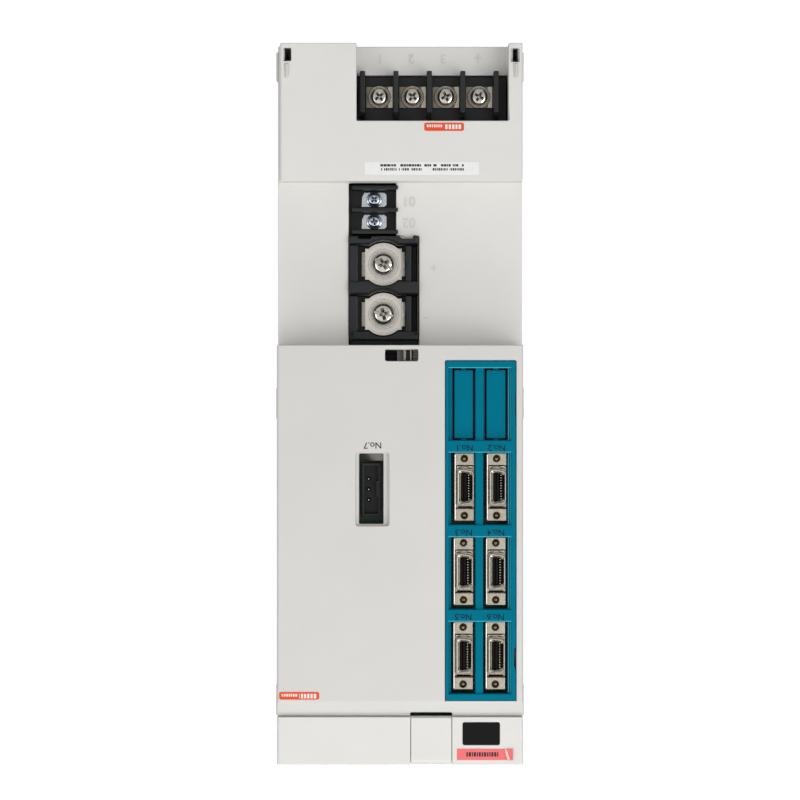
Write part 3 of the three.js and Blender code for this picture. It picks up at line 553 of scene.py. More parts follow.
def stand_in(node, solid, look, suffix="_made", slot=None, **settings):
    """A piece that stands for a CAD node and rides on the node's body."""
    body = frame["nodes"][node]["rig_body"]
    finish(node + suffix, solid, look, slot or SUBPARTS[node], body, (node,), **settings)


def from_node(node):
    """A CAD node's own shape as a solid, in millimetres, with its split corners joined again."""
    solid = Solid()
    made = solid.mesh
    made.from_mesh(frame["nodes"][node].data)
    made.transform(Matrix.Scale(1 / MM, 4))
    bmesh.ops.remove_doubles(made, verts=made.verts, dist=0.002)
    bmesh.ops.dissolve_limit(made, angle_limit=math.radians(0.6), verts=made.verts, edges=made.edges)
    return solid


def refine(node, width, solid=None, look=None):
    """A piece that stands for a CAD node, with truly rounded edges."""
    stand_in(node, solid or from_node(node), look or SUBPARTS[node], "_skin", width=width)


# ---- Outlines, in millimetres ----


def arc(centre, radius, start, end, steps):
    """Points on an arc, from angle start to angle end in degrees."""
    angles = [math.radians(start + (end - start) * i / steps) for i in range(steps + 1)]
    return [(centre[0] + radius * math.cos(a), centre[1] + radius * math.sin(a)) for a in angles]


def rectangle(left, right, bottom, top, radius=0, steps=5):
    if not radius:
        return [(left, bottom), (right, bottom), (right, top), (left, top)]
    turns = [
        ((right - radius, bottom + radius), -90),
        ((right - radius, top - radius), 0),
        ((left + radius, top - radius), 90),
        ((left + radius, bottom + radius), 180),
    ]
    return [point for centre, start in turns for point in arc(centre, radius, start, start + 90, steps)]


def d_shape(centre, half_width, half_length, radius, slope=1.0):
    """A connector's D shape, long along Z, whose -X side is the shorter one."""
    x, z = centre
    points = [
        (x + half_width, z - half_length),
        (x + half_width, z + half_length),
        (x - half_width, z + half_length - slope),
        (x - half_width, z - half_length + slope),
    ]
    outline = []
    for i, corner in enumerate(points):
        here = Vector(corner)
        before = (Vector(points[i - 1]) - here).normalized() * radius
        after = (Vector(points[(i + 1) % 4]) - here).normalized() * radius
        for step in range(6):
            t = step / 5
            outline.append(tuple(here + before * (1 - t) ** 2 + after * t**2))
    return outline


def shifted(outline, a, b):
    return [(a + u, b + v) for u, v in outline]


def swing(centre, angle):
    """Turns what is drawn round the origin of the front view, and moves it to a centre."""
    return Matrix.Translation((centre[0], 0, centre[1])) @ Matrix.Rotation(math.radians(angle), 4, "Y")


for node, slot in SUBPARTS.items():
    mesh = frame["nodes"][node].data
    mesh.materials.clear()
    mesh.materials.append(LOOKS[slot])


# ---- Shells, as in the CAD model but with rounded edges and finer shapes ----

FACE = -180
TOP_FACE = -178
FOOT_FACE = -168
CASE_FACE = -152
LEDGE_FACE = -151
BAY = {"mouth": 12.6, "throat": 11.2, "depth": 2.8, "edge": 8.95}
HORN = (-7.6, 99.4)
HOOK_HOLE = {"left": -58.1, "right": -54.0, "bottom": 7.9, "top": 14.3}
LATCH_SLOT = {"left": -8.6, "right": 7.1, "bottom": 154.2}
CASE_TONGUE = [(1.4, 97), (1.2, 97.6), (-0.2, 98.6), (-0.9, 99.5), (-6.4, 99.7), (-6.6, 97)]
SLOT_FLOOR = {"left": 8, "right": 19.8, "bottom": 204.6, "top": 208.3}
POCKET = {"left": -53.7, "right": -23.4, "first": 163.4, "pitch": 40.8, "height": 35, "floor": -177.2}
POCKET["openings"] = (-40.85, -25.35)


def sloped_barriers():
    """The output terminal block, with its barriers sloping down towards their upper ends."""
    low, high = corners("output_terminal_block")
    front, end = low.y, high.z
    wedge = [(front - 1, end - 4.6), (front, end - 4.4), (front + 6.5, end + 0.1), (front - 1, end + 0.1)]
    return from_node("output_terminal_block").cut(Solid().across(wedge, low.x - 1, high.x + 1))


def funnelled_bays():
    """The DC terminal block, with a bevelled wall round the lower side of each bay and a round horn."""
    solid = from_node("dc_terminal_block")
    block, far = corners("dc_terminal_block")
    front = block.y
    floor = front + BAY["depth"]
    for number in (1, 2):
        centre = middle(f"dc_terminal_screw_{number}")
        mouth = [(x, front - 0.5, z) for x, z in arc(centre, BAY["mouth"] + 0.3, 195, 345, 30)]
        throat = [(x, floor, z) for x, z in arc(centre, BAY["throat"], 195, 345, 30)]
        edge = centre[1] - BAY["edge"]
        wedge = [(front - 0.5, edge - 1.5), (front - 0.5, edge + 0.2), (floor, edge + 0.2)]
        solid.cut(Solid().loft([mouth, throat])).cut(Solid().across(wedge, block.x + 1.4, far.x + 1))
    left, right = block.x, far.x
    for x0, x1, bottom, top, depth in (
        (14.2, 20.5, 97, 99.6, 7),
        (left - 1, right + 1, 149.2, 156, 9),
        (left + 0.9, left + 0.9 + 3.5, 146.2, 150, 2.2),
        (right - 4.4, right - 4.4 + 3.5, 146.2, 150, 2.2),
    ):
        solid.cut(Solid().box((x0, front - 1, bottom), (x1, front + depth, top)))
    solid.cut(Solid().prism(CASE_TONGUE, front + 3.2, front - 1))
    return solid.join(Solid().rod(1.25, front - 0.5, front + 8, HORN, steps=24))


def closed_control_block():
    """The control terminal block, reaching under the edge of the foot."""
    low, high = corners("control_terminal_block")
    lid = Solid().box((low.x + 3.2, -142.6, low.z - 1.2), (high.x - 3, -140, low.z + 0.5))
    return from_node("control_terminal_block").join(lid)


def face_hole(hole, face, depth, top):
    """A box that cuts a hole of that depth into a face."""
    return Solid().box((hole["left"], face - 1, hole["bottom"]), (hole["right"], face + depth, top))


def case_with_hook_hole():
    """The main case, with the full width of the hook hole on its -X side."""
    return from_node("main_case").cut(face_hole(HOOK_HOLE, FOOT_FACE, 4, HOOK_HOLE["top"]))


def cover_with_deep_slots():
    """The front cover, with the lower end of the brake connector's slot and the latch's slot opened up."""
    solid = from_node("front_cover").cut(face_hole(SLOT_FLOOR, FACE, 9, SLOT_FLOOR["top"]))
    return solid.cut(face_hole(LATCH_SLOT, FACE, 4, LATCH_SLOT["bottom"] + 2))


def pocket_rows():
    """Bottom and top of each row of the bezel's pockets."""
    bottoms = [POCKET["first"] + row * POCKET["pitch"] for row in range(4)]
    return [(bottom, bottom + POCKET["height"]) for bottom in bottoms]


def stepped_pockets():
    """The connector bezel, with a raised strip between its columns and stepped sides."""
    solid = from_node("connector_bezel")
    left, floor = POCKET["left"], POCKET["floor"]
    for row, (bottom, top) in enumerate(pocket_rows()):
        for near, far, rise in ((-0.2, 0.8, 1.7), (0.6, 1.5, 0.8), (13.6, 17.2, 1.9)):
            start = (left + near, floor - rise, bottom - 0.1)
            solid.join(Solid().box(start, (left + far, floor + 0.5, top + 0.1)))
        if row in (0, 3):
            notch = bottom + (22.7 if row else 12)
            solid.join(Solid().box((-55.6, FACE - 0.19, notch - 1), (-54.9, FACE + 3, notch + 12.2)))
        for edge in POCKET["openings"] if row else ():
            solid.cut(Solid().box((edge - 1, floor - 1, bottom), (edge + 0.7, floor + 3, top - 0.2)))
    return solid


def lipped_top():
    """The top cover, with the lip that reaches behind the front cover."""
    return from_node("top_cover").join(Solid().box((-58.5, -174.8, 331.9), (58.5, -172.5, 333.4)))


for shell, rounding, shape, coat in (
    ("output_terminal_block", 0.35, sloped_barriers, None),
    ("dc_terminal_block", 0.4, funnelled_bays, None),
    ("main_case", 0.5, case_with_hook_hole, None),
    ("front_cover", 0.5, cover_with_deep_slots, "cover_grey"),
    ("connector_bezel", 0.25, stepped_pockets, None),
    ("top_cover", 0.3, lipped_top, None),
    ("access_flap", 0.35, None, None),
    ("display_window", 0.2, None, None),
    ("mounting_flange", 0.3, None, None),
    ("control_terminal_block", 0.35, closed_control_block, None),
    ("brake_port_housing", 0.2, None, None),
    ("heat_sink", 0.25, None, None),
):
    refine(shell, rounding, shape() if shape else None, coat)


def slot_ramp():
    """The sloping floor that shows through the lower end of the brake connector's slot, in a darker grey as
    painted shade.
    """
    left, right = SLOT_FLOOR["left"], SLOT_FLOOR["right"]
    bottom, top = SLOT_FLOOR["bottom"] - 0.4, SLOT_FLOOR["top"] - 0.1
    loops = []
    for x, front in ((left - 0.3, -172.5), ((left + right) / 2, -169.5), (right + 0.3, -161)):
        loops.append([(x, front, bottom), (x, front + 2, top), (x, front + 3, top), (x, front + 1, bottom)])
    finish("brake_slot_ramp", Solid().loft(loops), "shaded_grey")


def case_tongue():
    """The edge of the case's front face that reaches into the DC terminal block's corner."""
    edge = [(x, min(z, 99.5) if z > 97 else 97.9) for x, z in CASE_TONGUE]
    finish("main_case_tongue", Solid().prism(edge, CASE_FACE + 1, CASE_FACE), "grey_plastic")


def latch_catch():
    """The ribbed end of the cover's latch, in the slot at the cover's lower edge, with painted shade where it
    is shut in.
    """
    left, bottom, top = -8.9, 153.4, 160.6
    solid = Solid().box((left, -170, bottom), (1.4, -168.8, top))
    for near, far, front in ((left, -6.2, -174), (-5.6, -4.9, -176), (-2.9, -1.7, -175)):
        solid.box((near, front, bottom), (far, -169.4, top))
    for i in range(4):
        z = 154.6 + 1.4 * i
        solid.box((left, -174.5, z), (-6.4, -173.6, z + 0.7))
    finish("cover_latch", solid, "latch_grey", width=0.15)


def blank_backing():
    """A black sheet between the bezel's knock-out blanks and the control board: painted shade in the gaps
    round the blanks.
    """
    bottom, top = pocket_rows()[0]
    dark_sheet = Solid().box((POCKET["left"], -174.6, bottom - 0.8), (-24.8, -173.6, top + 0.6))
    finish("bezel_shade_sheet", dark_sheet, "insert_black")


def bezel_lines():
    """Light teal strips along the edges of the bezel's pockets: painted highlights where those edges catch
    the light.
    """
    lines = Solid()
    left, right = POCKET["left"], POCKET["right"]
    for bottom, top in pocket_rows():
        lines.box((left, FACE - 0.22, bottom - 0.45), (right, FACE + 0.3, bottom - 0.02))
        for x, rise in ((left + 0.1, 1.75), (left + 1.15, 0.85)):
            front = POCKET["floor"] - rise
            lines.box((x, front, bottom + 0.3), (x + 0.3, front + 0.5, top - 0.3))
    finish("bezel_lines", lines, "teal_light")


def insulating_sheets():
    """Dark sheets that stand on the power board, between the two sides of the case: painted shade inside the
    case.
    """
    sheets = Solid()
    for x, front, rear, bottom, top in (
        (0, -130, -64.05, 284, 348),
        (0, -61, -16, 290, 342),
        (40.5, -118, -64.05, 24, 96),
    ):
        sheets.box((x - 0.5, front, bottom), (x + 0.5, rear, top))
    finish("insulating_sheets", sheets, "fan_black")


slot_ramp()
bezel_lines()
insulating_sheets()
case_tongue()
latch_catch()
blank_backing()


# ---- Screws and terminals ----


def dome(radius, height, front):
    """Profile of a pan head from the middle of its front to its rim: (radius, depth) points."""
    fullness, steps = 4.6, 14
    points = []
    for i in range(steps + 1):
        angle = math.pi / 2 * i / steps
        drop = height * (1 - math.cos(angle) ** (2 / fullness))
        points.append((radius * math.sin(angle) ** (2 / fullness), front + drop))
    return points


def cross_cutter(centre, arm, half, front, depth, turn):
    """A cross that narrows inwards, for a driver recess."""
    pattern = [(arm, -half), (arm, half), (half, half), (half, arm), (-half, arm), (-half, half)]
    pattern += [(-px, -pz) for px, pz in pattern]
    x, z = centre
    c, s = math.cos(math.radians(turn)), math.sin(math.radians(turn))
    loops = []
    for size, y in ((1.05, front - 0.4), (0.3, front + depth)):
        loops.append([(x + size * (px * c - pz * s), y, z + size * (px * s + pz * c)) for px, pz in pattern])
    return Solid().loft(loops)


def screw(node, head_height, turn, look, washer_look, slotted=False):
    """Pan-head screw with a cross recess, a split washer under its head and a threaded shank."""
    low, high = corners(node)
    centre = middle(node)
    radius = (high.x - low.x) / 2
    neck, shank, thread = radius * 0.6, radius * 0.46, 0.7
    underside = low.y + head_height
    washer = 0.22 * head_height
    profile = dome(radius * 0.97, head_height - washer - 0.12, low.y)
    profile += [(neck, profile[-1][1]), (neck, underside), (shank, underside)]
    for i in range(int((high.y - underside - 0.6) / thread)):
        profile += [(shank, underside + thread * (i + 0.25)), (shank * 0.86, underside + thread * (i + 0.75))]
    profile += [(shank * 0.8, high.y), (0, high.y)]
    solid = Solid().turn(profile, centre, steps=48)
    solid.cut(cross_cutter(centre, radius * 0.64, radius * 0.16, low.y, head_height * 0.8, turn))
    if slotted:
        half = radius * 0.13
        slot = Solid().box((-radius, low.y - 1, -half), (radius, low.y + head_height * 0.26, half))
        solid.cut(slot.move(swing(centre, turn)))
    stand_in(node, solid, look, origin=(centre[0], underside, centre[1]))
    outer, inner = radius * 1.02, radius * 0.64
    top = underside - washer
    ring = Solid().rod(outer, top, underside + 0.2, centre, inner=inner)
    split = Solid().box((-0.25, top - 1, inner - 0.5), (0.25, underside + 1, outer + 0.5))
    ring.cut(split.move(swing(centre, turn + 30)))
    finish(node + "_spring_washer", ring, washer_look, SUBPARTS[node], width=0.08)


def face_rings(solid, centre, radii, front):
    """Shallow turned ridges on a flat face."""
    half, height = 0.16, 0.2
    for radius in radii:
        profile = [(radius - half, front + 0.3), (radius, front - height), (radius + half, front + 0.3)]
        solid.turn(profile, centre, steps=48)


def washer_ring(centre, inner, outer, edge, low, high, steps):
    """A round washer whose outer edge is bevelled by edge across and 0.25 mm down."""
    profile = [(inner, low), (outer - edge, low), (outer, low + 0.25), (outer, high), (inner, high)]
    return Solid().turn(profile, centre, steps=steps)


def output_plate(node):
    """Contact plate bent up a little on one side, with a grooved round washer cut flat on top."""
    low, high = corners(node)
    x, z = centre = middle(node)
    front = low.y + 1.0
    half_height, bend = 5.2, low.x + 2.1
    bottom, top = z - half_height, z + half_height
    # The plate body takes darker nickel, painted shade in the terminal's recess; the lip keeps the plain
    # nickel.
    stand_in(node, Solid().box((bend, front, bottom), (high.x, high.y, top)), "nickel_aged", width=0.15)
    lip = [(low.x, front - 0.6), (bend, front - 0.5), (bend + 0.7, front + 0.1), (low.x, high.y)]
    finish(node + "_lip", Solid().upright(lip, bottom, top), "nickel_plate", width=0.12)
    outer = (high.z - low.z) / 2
    washer = washer_ring(centre, 2.3, outer, 0.25, low.y, front, 56)
    flat = z + outer * 0.93
    washer.cut(Solid().box((low.x - 3, low.y - 1, flat), (high.x + 3, front + 1, flat + 4)))
    face_rings(washer, centre, (4.0, 4.6, 5.0), low.y)
    finish(node + "_washer", washer, "nickel_washer", origin=(x, low.y, z))


def dc_plate(node):
    """Wide contact plate with stepped corners, rounded out above and below, turned round its screw."""
    low, high = corners(node)
    x, z = centre = middle(node)
    radius, half_width = (high.z - low.z) / 2, (high.x - low.x) / 2
    half_height = 7.75
    inner = half_width - 1.6
    half_angle = math.degrees(math.asin(half_height / radius))
    quarter = [(inner, half_height), *arc((0, 0), radius, half_angle, 90, 10)[:-1]]
    upper = [*quarter, (0, radius), *[(-px, pz) for px, pz in reversed(quarter)]]
    outline = upper + [(-px, -pz) for px, pz in upper]
    solid = Solid().prism(shifted(outline, x, z), high.y, low.y)
    solid.cut(Solid().rod(3.4, low.y - 1, high.y + 1, centre))
    origin = (x, low.y, z)
    stand_in(node, solid, "nickel_turned", width=0.12, origin=origin)
    rings = Solid()
    face_rings(rings, centre, (5.35, 5.9, 6.5, 7.3), low.y)
    # The tool-mark ridges are real; their darker nickel is painted shade that brings them out.
    finish(node + "_tool_marks", rings, "nickel_aged", origin=origin)
    half = half_height - 1.8
    for name, side, drop, look in (
        ("_right_tab", -1, 0.12, "nickel_bright"),
        ("_left_tab", 1, 0.3, "nickel_turned"),
    ):
        near, far = x + side * inner, x + side * half_width
        tab = [(near, low.y + 0.01), (far, low.y + drop), (far, high.y), (near, high.y)]
        finish(node + name, Solid().upright(tab, z - half, z + half), look)


def control_plate(node):
    """Small contact plate with cut corners, a sloping side and a round captive washer."""
    low, high = corners(node)
    centre = middle(node)
    half_width, half_height = (high.x - low.x) / 2, (high.z - low.z) / 2
    chamfer = 1.1
    front = low.y + 0.4
    outline = [
        (half_width - chamfer, -half_height),
        (half_width, -half_height + 2.2 * chamfer),
        (half_width + 0.2, half_height),
        (-half_width + chamfer, half_height),
        (-half_width, half_height - chamfer),
        (-half_width, -half_height + chamfer),
        (-half_width + chamfer, -half_height),
    ]
    stand_in(node, Solid().prism(shifted(outline, *centre), high.y, front), "zinc_plate", width=0.15)
    washer = washer_ring(centre, 1.9, 3.8, 0.4, low.y, front, 48)
    finish(node + "_washer", washer, "zinc_bright", "zinc_plate")


# The output and DC screws' spring washers take darker nickel: painted shade round the heads.
for kind, plate, head_height, turns, looks in (
    ("output", output_plate, 3.4, (38, 52, 24, 60), ("nickel_bright", "nickel_aged")),
    ("dc", dc_plate, 4, (30, 12), ("nickel_bright", "nickel_aged")),
    ("control", control_plate, 2.4, (45, 10), ("zinc_bright", "zinc_plate")),
):
    for i, turn in enumerate(turns, 1):
        plate(f"{kind}_terminal_plate_{i}")
        screw(f"{kind}_terminal_screw_{i}", head_height, turn, *looks, slotted=kind == "dc")


# ---- Signal ports and the brake connector ----

PORT = {
    "half_height": 16.3,
    "half_width": 4.8,
    "ear": 6.4,
    "base": 6.6,
    "ear_front": 4.0,
    "rim": 1.6,
    "mouth": -0.6,
    "boss": 13.8,
}
CONTACT_PITCH = 1.27


def signal_port(number):
    """Shielded port: nickel bracket with a D-shaped mouth, two brass threads and a row of contacts."""
    shell, insert = f"signal_port_{number}_shell", f"signal_port_{number}_insert"
    x, z = middle(shell)
    half_x, half_z = PORT["half_width"], PORT["half_height"]
    base, ear_front, rim = (FACE + PORT[key] for key in ("base", "ear_front", "rim"))
    across = x + PORT["mouth"]
    mouth, throat = (across, z), (across - 0.3, z)
    bosses = [(x, z + side * PORT["boss"]) for side in (-1, 1)]

    bracket = Solid().prism(rectangle(x - half_x, x + half_x, z - half_z, z + half_z), base + 1, base)
    for side in (-1, 1):
        outline = [
            (ear_front, side * half_z),
            (ear_front, side * (half_z - PORT["ear"] + 0.7)),
            (base - 0.6, side * (half_z - PORT["ear"])),
            (base + 0.5, side * (half_z - PORT["ear"])),
            (base + 0.5, side * half_z),
        ]
        bracket.join(Solid().across(shifted(outline, 0, z), x - half_x, x + half_x))
    bores = Solid()
    for boss in bosses:
        bores.rod(1.75, ear_front - 2, ear_front + 3.4, boss, steps=24)
    bracket.cut(Solid().prism(rectangle(x - 3.9, x + 3.2, z + 9.5, z + 10.1, 0.3), base + 3, base - 5))
    bracket.cut(bores).cut(Solid().prism(d_shape(mouth, 3.0, 7.8, 1.2), base + 4, rim - 3))
    stand_in(shell, bracket, "nickel_plate", "_bracket", width=0.22)
    # The flange is a real folded edge; its brighter, glossier nickel is a painted highlight along it.
    flange = [(ear_front - 0.5, z - half_z + 0.4), (ear_front - 0.5, z + half_z - 0.4)]
    flange += [(base + 0.5, z + half_z), (base + 0.5, z - half_z)]
    edge = Solid().across(flange, x + half_x - 0.75, x + half_x + 0.05)
    finish(shell + "_flange", edge, "nickel_bright", width=0.25)

    wall = Solid().prism(d_shape((x + PORT["mouth"] / 2, z), 4.0, 9.1, 1.4, 0.3), base + 0.2, base - 1.3)
    wall.join(Solid().prism(d_shape(mouth, 3.85, 8.8, 1.8), base + 0.2, rim))
    loops = []
    for centre, half_width, half_length, radius, depth in (
        (mouth, 3.6, 8.5, 1.5, rim - 0.2),
        (throat, 2.5, 7.15, 1.2, rim + 1.1),
        (throat, 2.4, 7.05, 1.2, base + 3),
    ):
        loops.append([(px, depth, pz) for px, pz in d_shape(centre, half_width, half_length, radius)])
    finish(shell + "_mouth", wall.cut(Solid().loft(loops)), "nickel_rim", width=0.12)

    # The tabs take the brighter nickel as painted highlights.
    tabs = Solid()
    for x0, x1 in ((-4.0, -1.9), (1.5, 3.5)):
        outline = [(base - 2.5, -10.0), (base - 2.3, -9.3), (base + 0.2, -9.1), (base + 0.2, -10.0)]
        tabs.across(shifted(outline, 0, z), x + x0, x + x1)
    finish(shell + "_tabs", tabs, "nickel_bright", width=0.06)

    threads = Solid()
    steps = [(0, 3), (1.7, 3), (1.8, -0.1), (1.6, -0.35), (1.45, -0.35)]
    steps += [(1.1, 0.8), (1.0, 0), (0.6, -0.35), (0, -0.4)]
    for boss in bosses:
        threads.turn(shifted(steps, 0, ear_front), boss, steps=28)
    finish(shell + "_threads", threads, "brass")

    body = from_node(insert)
    body.join(Solid().box((across - 0.62, rim + 1.8, z - 6.4), (across + 0.62, base + 3, z + 6.4)))
    for x0, x1, depth in ((-2.6, -1.95, 1.6), (1.0, 2.0, 1.7)):
        side = rectangle(across + x0, across + x1, z - 6.6, z + 6.6)
        body.join(Solid().prism(side, base + 3, rim + depth))
    stand_in(insert, body, "insert_black", width=0.1)
    # The contacts are near-white: painted glints.
    contacts = Solid()
    for i in range(10):
        at = z + (i - 4.5) * CONTACT_PITCH
        contacts.pin(across - 1.5, at, ((0.2, rim + 1.2), (0.24, rim + 1.4), (0.24, base + 2.5)), 0.65)
    finish(insert + "_contacts", contacts, "gold")


for number in range(1, 7):
    signal_port(number)


def brake_pins():
    """Three square pins with chamfered tips, on a common black strip."""
    node = "brake_port_pins"
    low, high = corners(node)
    x, _ = middle(node)
    first, last = low.z + 1.4, high.z - 1.4
    strip = Solid().box((x - 0.8, high.y - 1, low.z), (x + 0.8, high.y, high.z))
    finish(node + "_strip", strip, "insert_black")
    pins = Solid()
    for i in range(3):
        stations = ((0.24, low.y + 0.2), (0.32, low.y + 0.4), (0.32, high.y - 0.6))
        pins.pin(x, first + (last - first) * i / 2, stations)
    stand_in(node, pins, "nickel_bright")


brake_pins()


# ---- Cooling: fan, guard and air duct ----

FAN = {"y": 39, "half": 35, "bore": 33, "bottom": 298.5, "top": 323.2, "hub": 14, "tip": 31, "screws": 29.7}
GUARD_HEIGHT = 325.8


def fan_corners():
    """Places of the fan's four corner screws, seen from above: x and y."""
    return [(sx * FAN["screws"], FAN["y"] + sy * FAN["screws"]) for sx in (-1, 1) for sy in (-1, 1)]


def fan_frame():
    """Square fan housing with a flared bore, corner screw posts and three curved struts."""
    y, half, bore, bottom, top, hub = (FAN[key] for key in ("y", "half", "bore", "bottom", "top", "hub"))
    flange, strut = 4, 2.5
    square = rectangle(-half, half, y - half, y + half, 4, 8)
    centre = (0, y)
    housing = Solid().rod(bore + 1.8, bottom, top, centre, "z", 72, bore - 1)
    housing.join(Solid().upright(square, bottom, bottom + flange))
    housing.join(Solid().upright(square, top - flange, top))
    holes = Solid()
    for at in fan_corners():
        housing.join(Solid().rod(4, bottom + 1, top - 1, at, "z", 24))
        holes.rod(2.1, bottom - 1, top + 1, at, "z", 20)
    flare = [(0, bottom - 1), (bore + 1.2, bottom - 1), (bore, bottom + 3)]
    flare += [(bore, top - 3), (bore + 1.2, top + 1), (0, top + 1)]
    housing.cut(holes).cut(Solid().turn(flare, centre, "z", 72))
    seat = [(0, bottom), (hub - 0.4, bottom), (hub, bottom + 0.4), (hub, bottom + strut), (0, bottom + strut)]
    housing.join(Solid().turn(seat, centre, "z", 48))
    for start in (34, 154, 274):
        ridge = []
        for side in (1, -1):
            points = []
            for i in range(9):
                radius = hub - 1 + (bore + 1.5 - hub) * i / 8
                angle = math.radians(start + 16 * i / 8) + side * 1.7 / radius
                points.append((radius * math.cos(angle), y + radius * math.sin(angle)))
            ridge += points if side > 0 else points[::-1]
        housing.join(Solid().upright(ridge, bottom, bottom + strut))
    stand_in("fan_frame", housing, "fan_black", width=0.25)


def fan_rotor():
    """Rotor hub with seven cambered, twisted blades."""
    low, high = corners("fan_rotor")
    y = FAN["y"]
    hub, tip = FAN["hub"], FAN["tip"] - 0.3
    profile = [(0, low.z), (hub - 1, low.z), (hub, low.z + 0.8), (hub, high.z - 1.6), (hub - 1.6, high.z)]
    profile += [(8, high.z), (7.4, high.z - 0.5), (1.6, high.z - 0.5), (1.2, high.z - 0.1), (0, high.z - 0.1)]
    rotor = Solid().turn(profile, (0, y), "z", 56)
    blades, stations, chord_steps = 7, 7, 8
    for blade in range(blades):
        loops = []
        for i in range(stations):
            share = i / (stations - 1)
            radius = hub - 1.2 + (tip - hub + 1.2) * share
            sweep = 19 - 5 * share
            rise = 8.6 - 2.4 * share
            upper, lower = [], []
            for j in range(chord_steps + 1):
                t = 2 * j / chord_steps - 1
                angle = math.radians(blade * 360 / blades + sweep * t + 7 * share)
                camber = 1.5 * (1 - t * t)
                thick = 0.25 + 0.55 * (1 - t * t)
                height = (low.z + high.z) / 2 + rise * t + camber
                at = (radius * math.cos(angle), y + radius * math.sin(angle))
                upper.append((*at, height + thick))
                lower.append((*at, height - thick))
            loops.append(upper + lower[::-1])
        rotor.loft(loops)
    stand_in("fan_rotor", rotor, "fan_black", origin=(0, y, low.z))
    badge = Solid().rod(7, high.z - 0.45, high.z - 0.3, (0, y), "z", 40)
    finish("fan_rotor_badge", badge, "aluminium_can", body="fan", origin=(0, y, high.z))


def circle(radius, sides):
    """Points round the origin."""
    around = [2 * math.pi * k / sides for k in range(sides)]
    return [(radius * math.cos(a), radius * math.sin(a)) for a in around]


def wire(solid, points):
    """A round wire through points, in a plane of constant height or along a line."""
    loops = []
    for i, point in enumerate(points):
        ahead = Vector(points[min(i + 1, len(points) - 1)]) - Vector(points[max(i - 1, 0)])
        ahead.normalize()
        side = Vector((0, 0, 1)).cross(ahead).normalized()
        above = ahead.cross(side)
        loops.append([Vector(point) + side * u + above * v for u, v in circle(1, 12)])
    return solid.loft(loops)


def fan_guard():
    """Wire finger guard on the duct's top, held by four screws."""
    y, z = FAN["y"], GUARD_HEIGHT
    spoke, eye = 39.4, 42
    guard = Solid()
    for radius in (12, 21, 30):
        guard.turn(shifted(circle(1, 12), radius, z), (0, y), "z", 64)
    for angle in (45, 135):
        c, s = math.cos(math.radians(angle)), math.sin(math.radians(angle))
        wire(guard, [(t * c, y + t * s, z + 0.25) for t in (-spoke, -20, 0, 20, spoke)])
        for t in (-eye, eye):
            guard.turn(shifted(circle(0.8, 10), 2.7, z), (t * c, y + t * s), "z", 32)
    stand_in("fan_guard", guard, "zinc_bright", slot="nickel_plate")
    screws = Solid()
    for x, y in fan_corners():
        head = [(0, z - 1.4), (1.6, z - 1.4), (1.6, z + 0.2), (3.1, z + 0.2)]
        head += [(r, z + 2.2 - d) for r, d in reversed(dome(3.1, 1.8, 0))]
        screws.turn(head, (x, y), "z", 28)
        cross = Solid()
        for length, width in ((1.9, 0.45), (0.45, 1.9)):
            cross.box((x - length, y - width, z + 1.3), (x + length, y + width, z + 3))
        screws.cut(cross)
    finish("fan_guard_screws", screws, "zinc_bright")


def air_duct():
    """Folded sheet duct over the fins, open at its lower end, with a round outlet over the fan."""
    low, high = corners("air_duct")
    sheet, fold = 1, 2.6

    def plan(inset, front):
        left, right, rear = low.x + inset, high.x - inset, high.y - inset
        radius = fold - inset
        corner_a = arc((right - radius, rear - radius), radius, 0, 90, 6)
        corner_b = arc((left + radius, rear - radius), radius, 90, 180, 6)
        return [(right, front), *corner_a, *corner_b, (left, front)]

    duct = Solid().upright(plan(0, low.y), low.z, high.z)
    duct.cut(Solid().upright(plan(sheet, low.y - 1), low.z - 1, high.z - sheet))
    duct.cut(Solid().rod(FAN["bore"] + 1, high.z - 5, high.z + 1, (0, FAN["y"]), "z", 72))
    seams = Solid()
    for x in (-30, 30):
        seams.box((x - 3, high.y - 0.35, low.z + 14), (x + 3, high.y + 1, high.z - 22))
    stand_in("air_duct", duct.cut(seams), "sheet_steel", width=0.3)
    rivets = Solid()
    for z in (low.z + 10, 118, 208, high.z - 10):
        for side, x in ((-1, low.x), (1, high.x)):
            made = Solid().turn([*dome(2.6, 1.1, 0), (1.2, 2.2), (0, 2.2)], (0, 0), steps=24)
            turn = Matrix.Rotation(math.radians(90 * side), 4, "Z")
            rivets.join(made.move(Matrix.Translation((x + side * 1.1, low.y + 6, z)) @ turn))
    finish("air_duct_rivets", rivets, "aluminium")


fan_frame()
fan_rotor()
fan_guard()
air_duct()


# ---- Electronics ----


FIGURE_SHARE = 0.72


def lettering(solid, text, height, centre, depth, raised, bold=0.0):
    """Adds figures to a solid, upright on a face at that depth. They fill FIGURE_SHARE of the font's size."""
    data = bpy.data.curves.new("figures", "FONT")
    data.body = text
    data.offset = bold
    data.size = height / FIGURE_SHARE
    data.resolution_u = 5
    data.align_x = "CENTER"
    data.align_y = "CENTER"
    data.extrude = raised / 2
    thing = placed("figures", data)
    made = bpy.data.meshes.new_from_object(thing.evaluated_get(bpy.context.evaluated_depsgraph_get()))
    place = Matrix.Translation((centre[0], depth - raised / 2 + 0.02, centre[1]))
    made.transform(place @ Matrix.Rotation(math.pi / 2, 4, "X"))
    solid.mesh.from_mesh(made)
    bpy.data.objects.remove(thing)
    bpy.data.meshes.remove(made)


